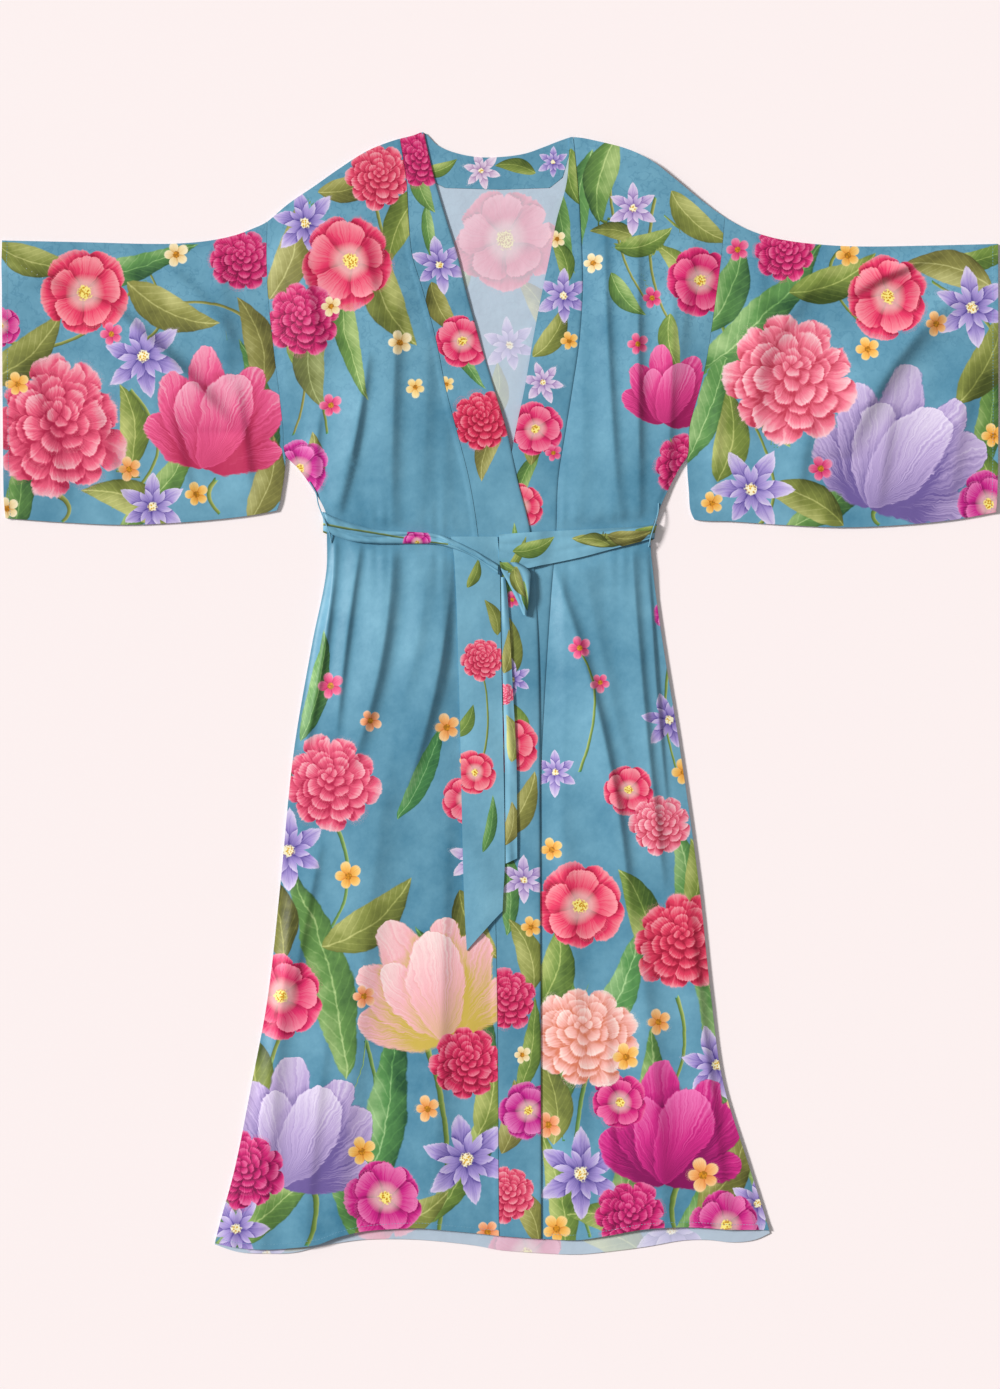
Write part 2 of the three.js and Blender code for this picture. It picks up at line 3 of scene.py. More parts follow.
import bpy
import numpy as np
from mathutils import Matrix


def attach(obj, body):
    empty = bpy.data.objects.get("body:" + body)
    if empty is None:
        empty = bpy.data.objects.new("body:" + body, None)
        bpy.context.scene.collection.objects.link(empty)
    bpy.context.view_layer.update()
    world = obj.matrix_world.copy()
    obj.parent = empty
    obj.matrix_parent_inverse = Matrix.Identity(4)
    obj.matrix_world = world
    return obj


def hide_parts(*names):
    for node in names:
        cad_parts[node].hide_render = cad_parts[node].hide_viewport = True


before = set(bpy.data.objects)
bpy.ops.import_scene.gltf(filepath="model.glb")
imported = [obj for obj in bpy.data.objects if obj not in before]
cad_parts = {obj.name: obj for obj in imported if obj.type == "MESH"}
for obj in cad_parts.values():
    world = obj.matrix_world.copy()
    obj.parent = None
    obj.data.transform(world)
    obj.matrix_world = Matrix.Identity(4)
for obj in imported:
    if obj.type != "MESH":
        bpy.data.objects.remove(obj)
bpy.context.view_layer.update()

# ---- Table top, camera and light --------------------------------------------------------------
# The robe lies face up on a plain pale table. The camera hangs straight above its middle on a long
# lens. One broad soft lamp stands to the upper left, and the pale room fills the rest.

SEEN_HEIGHT = 1.611  # metres of table that the frame takes in from top to bottom
LENS = 100.0
SENSOR = 36.0
CLOTH_LEVEL = 0.006  # the height at which SEEN_HEIGHT is measured
VIEW_MIDDLE = -0.001
LAMP_STRENGTH = 3.85
LAMP_SPREAD, LAMP_LEAN, LAMP_TURN = 12, -15, -55  # degrees: its width, and its turn about x and y
ROOM_STRENGTH = 0.32
TABLE_LEVEL, TABLE_REACH, TABLE_POINTS = -0.0006, 3, 25


def colour(red, green, blue):
    """A colour as it looks, 0 to 255 each, turned into the light it stands for."""
    seen = np.array([red, green, blue]) / 255
    light = np.where(seen <= 0.04045, seen / 12.92, ((seen + 0.055) / 1.055) ** 2.4)
    return (*light.tolist(), 1.0)


scene = bpy.context.scene
scene.view_settings.view_transform = "Standard"
lens = bpy.data.cameras.new("camera")
lens.lens = LENS
lens.sensor_width = SENSOR
lens.clip_end = 50
camera = bpy.data.objects.new("camera", lens)
camera.location = (0, VIEW_MIDDLE, SEEN_HEIGHT * LENS / SENSOR + CLOTH_LEVEL)
scene.collection.objects.link(camera)
scene.camera = camera

lamp = bpy.data.lights.new("soft_lamp", "SUN")
lamp.energy = LAMP_STRENGTH
lamp.angle = math.radians(LAMP_SPREAD)
soft_lamp = bpy.data.objects.new("soft_lamp", lamp)
soft_lamp.rotation_euler = (math.radians(LAMP_LEAN), math.radians(LAMP_TURN), 0)
scene.collection.objects.link(soft_lamp)
room = bpy.data.worlds.new("room")
room.use_nodes = True
room.node_tree.nodes["Background"].inputs["Color"].default_value = (1, 1, 1, 1)
room.node_tree.nodes["Background"].inputs["Strength"].default_value = ROOM_STRENGTH
scene.world = room


class Dye:
    """One socket of a material. Python's own signs between sockets and numbers add Math nodes."""

    def __init__(self, tree, socket=None):
        self.tree, self.socket = tree, socket

    def node(self, kind, settings=None, sockets=None, out=0):
        """Adds a node: its settings are set first, then its sockets get values or links."""
        made = self.tree.nodes.new("ShaderNode" + kind)
        for name, value in (settings or {}).items():
            if name == "stops":
                stops = made.color_ramp.elements
                while len(stops) < len(value):
                    stops.new(1)
                for stop, (place, shade) in zip(stops, value):
                    stop.position, stop.color = place, shade
            else:
                setattr(made, name, value)
        for name, value in (sockets or {}).items():
            if isinstance(value, Dye):
                self.tree.links.new(value.socket, made.inputs[name])
            else:
                made.inputs[name].default_value = value
        return Dye(self.tree, made.outputs[out])

    def math(self, operation, *others):
        return self.node("Math", {"operation": operation}, dict(enumerate([self, *others])))

    def __add__(self, other):
        return self.math("ADD", other)

    def __sub__(self, other):
        return self.math("SUBTRACT", other)

    def __mul__(self, other):
        return self.math("MULTIPLY", other)

    def __truediv__(self, other):
        return self.math("DIVIDE", other)

    def __pow__(self, other):
        return self.math("POWER", other)

    def __gt__(self, other):
        return self.math("GREATER_THAN", other)

    def __abs__(self):
        return self.math("ABSOLUTE")

    __radd__ = __add__
    __rmul__ = __mul__

    def __rsub__(self, other):
        return self.node("Math", {"operation": "SUBTRACT"}, {0: other, 1: self})

    def part(self, number):
        """The x, y or z of a vector."""
        return self.node("SeparateXYZ", None, {0: self}, number)

    def held(self, scale=1.0, start=0.0):
        """The value times a scale plus a start, held between 0 and 1."""
        settings = {"operation": "MULTIPLY_ADD", "use_clamp": True}
        return self.node("Math", settings, {0: self, 1: scale, 2: start})

    def blend(self, first, second):
        """A number between two others, by this share."""
        return self.node("Mix", {"data_type": "FLOAT", "clamp_factor": True}, {0: self, 2: first, 3: second})

    def tint(self, first, second):
        """A colour between two others, by this share."""
        return self.node("Mix", {"data_type": "RGBA"}, {0: self, 6: first, 7: second}, 2)


def material(name, roughness=0.5, **fixed):
    """A new material: its tree as a Dye, and its Principled shader with what is the same all over."""
    made = bpy.data.materials.new(name)
    made.use_nodes = True
    shader = made.node_tree.nodes["Principled BSDF"]
    shader.inputs["Roughness"].default_value = roughness
    for socket, value in fixed.items():
        shader.inputs[socket.replace("_", " ")].default_value = value
    return made, Dye(made.node_tree), shader


def grid_faces(columns, rows):
    """Four corners of every cell of a grid of points, turning left seen from its front."""
    at = np.arange(rows * columns).reshape(rows, columns)
    return np.stack([at[:-1, :-1], at[:-1, 1:], at[1:, 1:], at[1:, :-1]], -1).reshape(-1, 4)


def piece(name, points, faces, dyes, which=None, sharp=None):
    """A mesh object from points in metres and its faces; which gives each face's material. An edge
    stays sharp where both its ends have the same number in sharp, and that isn't 0."""
    mesh = bpy.data.meshes.new(name)
    mesh.from_pydata(points.tolist(), [], faces.tolist())
    for dye in dyes:
        mesh.materials.append(dye)
    mesh.polygons.foreach_set("use_smooth", np.ones(len(faces), bool))
    if which is not None:
        mesh.polygons.foreach_set("material_index", which.astype(np.int32))
    if sharp is not None:
        ends = np.empty(len(mesh.edges) * 2, np.int32)
        mesh.edges.foreach_get("vertices", ends)
        ends = sharp[ends.reshape(-1, 2)]
        crease = (ends[:, 0] == ends[:, 1]) & (ends[:, 0] > 0)
        mesh.attributes.new("sharp_edge", "BOOLEAN", "EDGE").data.foreach_set("value", crease)
    made = bpy.data.objects.new(name, mesh)
    scene.collection.objects.link(made)
    return made


paper, ink, shader = material("table_paper", 0.8)
grain = ink.node("TexNoise", None, {"Vector": ink.node("TexCoord", out=3), "Scale": 900.0, "Detail": 3.0})
shade = grain.tint(colour(252, 240, 239), colour(254, 242, 241))
ink.tree.links.new(shade.socket, shader.inputs["Base Color"])
marks = np.linspace(-TABLE_REACH, TABLE_REACH, TABLE_POINTS)
across, up = np.meshgrid(marks, marks)
table_top = piece("table_top", np.stack([across, up, np.full_like(up, TABLE_LEVEL)], -1).reshape(-1, 3),
                  grid_faces(TABLE_POINTS, TABLE_POINTS), [paper])

# ---- Back -------------------------------------------------------------------------------------
# One width of satin from the hem to the shoulders, with a shallow scooped neckline. It lies on its
# printed side, so the pale wrong side shows in the neck opening and in a strip below the fronts.

LENGTH = 1302.0  # lowest point of the hem to the shoulder beside the neck; all the drawing is in mm
CLOTH, DOUBLE = 1.3, 1.6  # the levels that one layer and a pressed double layer take up
WALL = 0.8  # the wall of a single layer's shell
SEAM, REST = 0.3, 0.5  # the gap at a seam, and the gap under a piece that lies loose on another
UNDERARM = 928.0
BELT_LOW, BELT_HIGH, BELT_RAMP = 795.0, 864.0, 32.0  # where the belt lifts the back, and its slopes


def table(columns, rows):
    """Rows of numbers as named columns."""
    return dict(zip(columns.split(), np.array(rows, float).T))


def line(rows, at, value):
    """A smooth line through points: a cubic from each to the next that has the slope of the chord
    between their neighbours at either end, held level past the ends."""
    xs, ys = rows[at], rows[value]
    last = len(xs) - 1
    ahead = np.minimum(np.arange(last + 1) + 1, last)
    behind = np.maximum(np.arange(last + 1) - 1, 0)
    slope = (ys[ahead] - ys[behind]) / (xs[ahead] - xs[behind])

    def read(where):
        i = np.clip(np.searchsorted(xs, where) - 1, 0, last - 1)
        step = xs[i + 1] - xs[i]
        s = np.clip((where - xs[i]) / step, 0, 1)
        bend = slope[i] * s * (1 - s) ** 2 - slope[i + 1] * s * s * (1 - s)
        return ys[i] + (ys[i + 1] - ys[i]) * s * s * (3 - 2 * s) + step * bend

    return read


def ease(value, start, end):
    """0 up to start, 1 from end, and an S between them: 3s squared less 2s cubed."""
    s = np.clip((value - start) / (end - start), 0, 1)
    return s * s * (3 - 2 * s)


def mix(first, second, share):
    """The value a share of the way from the first to the second."""
    return first + (second - first) * share


BODY = table("height right left", [
    [0, -334, 318], [30, -327, 312], [100, -308, 290], [200, -288, 259], [300, -269.5, 245],
    [430, -255, 231], [580, -240, 210], [710, -218, 189], [790, -202, 178], [835, -201, 175],
    [860, -202, 183], [885, -215, 194], [912, -234, 208], [UNDERARM, -249, 218], [960, -252, 220],
    [1005, -257, 232], [1040, -261.5, 240], [1110, -269, 250.5], [1160, -271, 257], [1205, -270, 261]])
HEMS = table("across front back", [
    [-335, 14, 13], [-305, 8, 3], [-270, 6, 1], [-240, 8, 2], [-211, 12, 9], [-190, 20, 13], [-160, 27, 17],
    [-126, 30, 18], [-93, 31, 17], [-59, 28, 14], [-27, 25, 10], [0, 22, 5], [56, 18, 1], [90, 17, 0],
    [124, 22, 3], [170, 30, 9], [210, 32, 16], [240, 31, 17], [270, 29, 14], [296, 29, 17], [318, 28, 27]])
TOP = table("across height", [
    [-578, 1177], [-485, 1175], [-391, 1173], [-343, 1176], [-308, 1183], [-284, 1192], [-270, 1199],
    [-246, 1219], [-215, 1240], [-188, 1259], [-155, 1280], [-126, 1292], [-100, 1299], [-88, LENGTH],
    [-73, 1288], [-52, 1279], [-26, 1274], [0, 1274], [29, 1278], [52, 1286], [70, 1293], [85, 1297],
    [118, 1291], [150, 1282], [176, 1269], [202, 1249], [229, 1227], [261, 1204], [292, 1188],
    [327, 1178], [375, 1172], [422, 1170], [493, 1171], [578, 1173]])
NECKLINE = table("across height", [
    [-100, 1299], [-87, 1250], [-64, 1238], [0, 1236], [58, 1238], [73, 1250], [86, 1296]])

side = {"right": line(BODY, "height", "right"), "left": line(BODY, "height", "left")}
top = line(TOP, "across", "height")
front_hem, back_hem = line(HEMS, "across", "front"), line(HEMS, "across", "back")


def neckline(x):
    """Height of the scooped neckline, on straight lines between its points."""
    return np.interp(x, NECKLINE["across"], NECKLINE["height"])


def under_back(y):
    """The back's underside: flat on the table, and up over the belt that runs beneath it."""
    rise = np.minimum((y - BELT_LOW) / BELT_RAMP, (BELT_HIGH - y) / BELT_RAMP) + 1
    return (CLOTH + SEAM) * np.clip(rise, 0, 1)


def meet(edge, left, right, u):
    """Height at which a line across the robe passes the share u between two edges, by repeated reading."""
    y = np.full(len(u), UNDERARM)
    for _ in range(12):
        y = edge(mix(left(y), right(y), u))
    return y


def panel(left, right, hem, shoulder, u, rows):
    """x and y of a panel's grid: columns at shares u between its edges, rows evenly up each column."""
    low, high = meet(hem, left, right, u), meet(shoulder, left, right, u)
    y = mix(low, high, np.linspace(0, 1, rows + 1)[:, None])
    return mix(left(y), right(y), u), y


def between(marks, cell):
    """Shares from 0 to 1 that keep every mark and are nowhere further apart than a cell."""
    marks = np.array(marks, float)
    steps = []
    for a, b in zip(marks, marks[1:]):
        count = max(2, int(np.ceil((b - a) / cell)) + 1)
        steps.append(np.linspace(a, b, count)[:-1])
    across = np.append(np.concatenate(steps), marks[-1])
    return (across - marks[0]) / (marks[-1] - marks[0])


def cloth(name, x, y, over, dyes, wall=WALL):
    """A closed thin shell: a grid of points on its upper side, the same points a wall lower, and
    sides that join their rims. The first dye is on the upper side and the rim, the second below."""
    rows, columns = x.shape
    count = rows * columns
    upper = np.stack([x, y - LENGTH / 2, over], -1).reshape(-1, 3)
    lower = np.stack([x, y - LENGTH / 2, over - wall], -1).reshape(-1, 3)
    at = np.arange(count).reshape(rows, columns)
    rim = np.concatenate([at[0, :-1], at[:-1, -1], at[-1, :0:-1], at[:0:-1, 0]])
    after = np.roll(rim, -1)
    faces = grid_faces(columns, rows)
    sides = np.stack([rim + count, after + count, after, rim], -1)
    which = np.repeat([0, 1, 0], [len(faces), len(faces), len(sides)])
    sharp = np.zeros(2 * count, int)
    sharp[rim], sharp[rim + count] = 1, 2
    points = np.concatenate([upper, lower]) / 1000
    faces = np.concatenate([faces, faces[:, ::-1] + count, sides])
    return piece(name + "_cloth", points, faces, dyes, which, sharp)


KINDS = {"blade": 0.24, "leaf": 0.46, "star": 1, "fan": 1, "open": 1, "bloom": 1, "blossom": 1}
TINT_LOW, TINT_SPAN = 0.3, 0.7  # a tint from 0 to 1 is stored as 0.3 to 1, since 0 means no motif
MARGIN, MARGIN_SHARE = 3, 0.07  # how far past a motif its place is still given
STEM_POINTS, STEM_REACH = 60, 9.5


def lay_print(made, x, y, motifs):
    """Gives every point of a piece its place in the nearest motif of each kind, as u, v and tint.
    u and v are the point's offset turned and divided by the motif's size; tint is 0 outside it.
    Faces that no motif reaches get the bare dye."""
    mesh = made.data
    printed = np.zeros(len(mesh.vertices), bool)
    for kind, rows in motifs.items():
        if kind == "stem":
            place = stem_places(x, y, rows)
        else:
            turn = np.radians(rows["turn"])
            dx, dy = x[..., None] - rows["x"], y[..., None] - rows["y"]
            u = (dx * np.cos(turn) + dy * np.sin(turn)) / rows["size"]
            v = (dy * np.cos(turn) - dx * np.sin(turn)) / rows["size"]
            past = (np.hypot(u, v / KINDS[kind]) - 1) * rows["size"] * KINDS[kind] ** 0.5
            near = past.argmin(-1)[..., None]
            pick = lambda values: np.take_along_axis(values, near, -1)[..., 0]
            edge = MARGIN + MARGIN_SHARE * rows["size"][near[..., 0]]
            tint = np.where(pick(past) < edge, TINT_LOW + TINT_SPAN * rows["tint"][near[..., 0]], 0)
            place = np.stack([pick(u), pick(v), tint], -1)
        place = np.tile(place.reshape(-1, 3), (2, 1))
        printed |= place[:, 2] > 0
        mesh.attributes.new(kind, "FLOAT_VECTOR", "POINT").data.foreach_set("vector", place.ravel())
    corners, which = np.empty(len(mesh.loops), np.int32), np.empty(len(mesh.polygons), np.int32)
    mesh.loops.foreach_get("vertex_index", corners)
    mesh.polygons.foreach_get("material_index", which)
    for dye in list(mesh.materials):
        mesh.materials.append(bare[dye.name])
    unprinted = ~printed[corners.reshape(-1, 4)].any(1)
    mesh.polygons.foreach_set("material_index", which + 2 * unprinted.astype(np.int32))


def stem_places(x, y, rows):
    """Places beside curved stems: each is a parabola through three points, read at STEM_POINTS places.
    u is the signed distance from the nearest, in half widths, and v how far along it, 0 to 1."""
    s = np.linspace(0, 1, STEM_POINTS)
    bow = lambda a: (rows[a + "1"][:, None] * (1 - s) * (1 - 2 * s) + rows[a + "2"][:, None] * 4 * s * (1 - s)
                     + rows[a + "3"][:, None] * s * (2 * s - 1))
    best = None
    for sx, sy, half, tint in zip(bow("x"), bow("y"), rows["half"], rows["tint"]):
        tx, ty = np.gradient(sx), np.gradient(sy)
        span = np.hypot(tx, ty)
        near = np.argmin((x[..., None] - sx) ** 2 + (y[..., None] - sy) ** 2, -1)
        dx, dy = x - sx[near], y - sy[near]
        off = (tx[near] * dy - ty[near] * dx) / span[near]
        far = np.hypot(dx, dy)
        inside = (far < STEM_REACH) & (near > 0) & (near < STEM_POINTS - 1)
        place = np.stack([off / half, s[near], np.where(inside, TINT_LOW + TINT_SPAN * tint, 0), far], -1)
        best = place if best is None else np.where((far < best[..., 3])[..., None], place, best)
    return best[..., :3]


# The satin is dyed teal and printed with garden flowers before it is cut: every kind of motif is
# drawn in rings of petals, or as a leaf with its veins, around its own middle. Each has three dyes,
# in its hollows, over its middle and along its rims, which change with the motif's tint.

DYES = {
    "bloom": ([(222, 140, 96), (190, 34, 80), (158, 12, 46), (112, 2, 70)],
              [(247, 200, 180), (238, 100, 134), (224, 48, 84), (204, 24, 116)],
              [(254, 242, 226), (251, 200, 208), (247, 156, 166), (238, 116, 172)]),
    "fan": ([(98, 80, 156), (206, 178, 78), (188, 34, 88), (122, 0, 88)],
            [(182, 164, 212), (245, 180, 186), (234, 84, 138), (206, 24, 132)],
            [(228, 216, 240), (251, 226, 222), (249, 178, 200), (238, 104, 180)]),
    "open": ([(168, 12, 46), (158, 8, 60), (140, 2, 76), (108, 0, 88)],
             [(234, 60, 90), (228, 44, 104), (214, 28, 118), (196, 32, 150)],
             [(251, 166, 164), (249, 146, 168), (242, 118, 166), (234, 140, 206)]),
    "star": ([(70, 56, 136), (92, 72, 160), (146, 106, 168), (208, 164, 104)],
             [(160, 140, 208), (180, 160, 216), (216, 192, 222), (244, 224, 190)],
             [(224, 212, 240), (228, 216, 241), (242, 228, 240), (253, 246, 226)]),
    "blossom": ([(210, 166, 92), (220, 136, 14), (188, 28, 78), (166, 8, 82)],
                [(244, 228, 190), (246, 196, 56), (236, 100, 140), (226, 60, 120)],
                [(252, 246, 230), (252, 228, 136), (248, 184, 198), (242, 134, 172)]),
    "green": ([(26, 78, 50), (54, 80, 28), (80, 76, 32), (22, 54, 44)],
              [(84, 148, 84), (120, 144, 62), (148, 142, 74), (62, 108, 70)],
              [(172, 214, 154), (198, 206, 122), (208, 202, 134), (132, 170, 120)]),
}


def dyed(tone, tint, kind):
    """The colour at a tone, 0 in a hollow to 1 on a rim, of a motif with that tint."""
    ramps = []
    for row in DYES[kind]:
        stops = [(TINT_LOW + TINT_SPAN * i / 3, colour(*dye)) for i, dye in enumerate(row)]
        ramps.append(tint.node("ValToRGB", {"stops": stops}, {0: tint}))
    hollow, middle, rim = ramps
    return tone.held(2, -1).tint(tone.held(2).tint(hollow, middle), rim)


def drawn(ink, kind, sway, amount):
    """u, v, tint and mask of a motif, its outline swayed a little by the cloth's own waver."""
    place = ink.node("Attribute", {"attribute_name": kind}, out=1)
    reach = (amount, amount, 0)
    wobbled = place.node("VectorMath", {"operation": "MULTIPLY_ADD"}, {0: sway, 1: reach, 2: place})
    u, v, tint = (wobbled.part(i) for i in range(3))
    return u, v, tint, tint > 0.15


def petals(angle, seed, reach, count, turn, hollow, power, wild):
    """A ring of petals: the circle falls into equal wedges, with -1 to 1 across each, and the rim is
    the reach less hollow times the distance from the petal's middle to a power. Each petal has its
    own chance, which makes it longer or shorter by the share wild."""
    place = angle * (count / math.tau) + turn
    number = place.math("FLOOR").math("FLOORED_MODULO", count) + seed
    chance = number.node("TexWhiteNoise", {"noise_dimensions": "1D"}, {"W": number})
    across = place.math("FRACT") * 2 - 1
    rim = (1 - abs(across) ** power * hollow) * (chance * wild + (1 - wild)) * reach
    return across, rim, chance


TINT_SEED, RING_SEED = 40, 11  # these keep the chances of each flower and of each ring apart


def flower(ink, kind, sway, streaks, rings, eye, vein, crisp, waver=0.22, tilt=0.0):
    """A flower of several rings, the outer ones drawn first. Each petal is dark where the ring inside
    it and the petal beside it cover it, and pale at its rim. eye is the middle's radius, vein how dark
    the veins are, and tilt how far each ring's middle moves towards the flower's own upper side."""
    u, v, tint, mask = drawn(ink, kind, sway, waver)
    radius = (u * u + v * v) ** 0.5
    angle = v.math("ARCTAN2", u)
    grain = streaks(angle * 3.5 + radius * 0.4) - 0.5
    tone, edges = None, []
    for number, ring in enumerate(rings):
        if tilt and number:
            lift = v - tilt * number
            turned = petals(lift.math("ARCTAN2", u), tint * TINT_SEED + number * RING_SEED, *ring)
            edges.append((*turned, (u * u + lift * lift) ** 0.5))
        else:
            edges.append((*petals(angle, tint * TINT_SEED + number * RING_SEED, *ring), radius))
    for number, (across, rim, chance, out) in enumerate(edges):
        rim = rim + grain * (0.07 * rings[number][0])
        within = edges[number + 1][1] if number + 1 < len(edges) else eye
        rise = ((out - within) / (rim - within)).held()
        covered = ((across - 0.15) * 1.25).held() ** 1.5
        ring_tone = (rise ** 0.7 * 0.72 + rise ** 9 * 0.3 - covered * 0.4 + chance * 0.16
                     - abs(across) ** 6 * 0.12)
        cover = (rim - out).held(crisp)
        tone = ring_tone if tone is None else cover.blend(tone, ring_tone)
        outline = cover if number == 0 else outline
    tone = (tone + grain * 0.75 + 0.03).held()
    shade = dyed(tone, tint, kind)
    if vein:
        midrib = (1 - abs(edges[0][0]) * radius * 10).held() * (1 - radius * 0.75)
        fine = ((grain - 0.05) * 9).held() * (1 - radius * 0.7)
        shade = (midrib.math("MAXIMUM", fine) * vein).tint(shade, dyed(tone * 0.3, tint, kind))
    return outline * mask, shade, radius


def eye(shade, radius, size, stamens, ground, dots):
    """The flower's middle: a ragged disc of stamens, dotted."""
    disc = (size - radius + (stamens - 0.5) * 0.09).held(22)
    return disc.tint(shade, ((stamens - 0.42) * 7).held().tint(ground, dots))


def leaf(ink, kind, sway, brush, crisp, veins):
    """A lance-shaped leaf: its half width is the kind's share times (1 - u squared), wider towards
    its foot. Veins run forward from a pale midrib, one half catches more light, and it is blotched."""
    u, v, tint, mask = drawn(ink, kind, sway, 0.16)
    width = KINDS[kind]
    along = 1 - u * u
    bowed = v + along * (width * 0.5) - width * 0.25
    half = along.math("MAXIMUM", 0) ** 0.8 * (width * 0.8) * (1 - u * 0.32)
    off = abs(bowed)
    outline = (half - off).held(crisp) * mask
    rib = (1 - off * (20 / width)).held()
    fine = (1 - abs(((u - off * 1.3 - off * off * 0.5) * veins).math("FRACT") - 0.5) * 8).held()
    curl = (off / half).math("MINIMUM", 1) ** 5
    tone = (bowed * (0.55 / width)).math("MAXIMUM", -0.16) + rib * 0.4 + fine * 0.14 - curl * 0.22
    tone = (tone + (brush - 0.5) * 1.7 + sway.part(0) * 0.9 + 0.42).held()
    return outline, dyed(tone, tint, "green")


SIDE_PETALS = table("lean length width shade", [
    [-62, 1.12, 0.36, -0.22], [60, 1.16, 0.34, -0.26], [-36, 1.46, 0.42, -0.12], [34, 1.52, 0.44, -0.16],
    [-13, 1.74, 0.42, -0.02], [15, 1.62, 0.40, -0.1], [-24, 1.26, 0.38, 0.08], [8, 1.40, 0.52, 0.14]])


def fan(ink, sway, streaks):
    """A bloom seen from the side: eight petals rise from a foot below its middle. Each has a half
    width of share up it to a power times share left to a power, and shades the petals behind it."""
    u, v, tint, mask = drawn(ink, "fan", sway, 0.26)
    u, height = u * 1.12, v * 1.08 + 0.86
    grain = streaks(u.math("ARCTAN2", height) * 8 + height * 0.3) - 0.5
    tone = outline = None
    for lean, length, width, shade in zip(*SIDE_PETALS.values()):
        sine, cosine = math.sin(math.radians(lean)), math.cos(math.radians(lean))
        share = (u * sine + height * cosine).held(1 / length)
        across = u * cosine - height * sine
        half = share ** 0.6 * (1 - share) ** 0.42 * (width * 1.55) + (grain * 0.05 - 0.013)
        off = half - abs(across)
        petal = (share ** 1.3 * 0.72 + (1 - off * 14).held() * 0.2
                 - (across * (0.9 / width)).held() * 0.34 + (0.1 + shade))
        cover = off.held(40)
        if tone is None:
            tone, outline = petal, cover
        else:
            tone = cover.blend(tone - (off + 0.12).held(5) * 0.3, petal)
            outline = outline.math("MAXIMUM", cover)
    tone = (tone + grain * 0.9).held()
    return outline * mask, dyed(tone, tint, "fan")


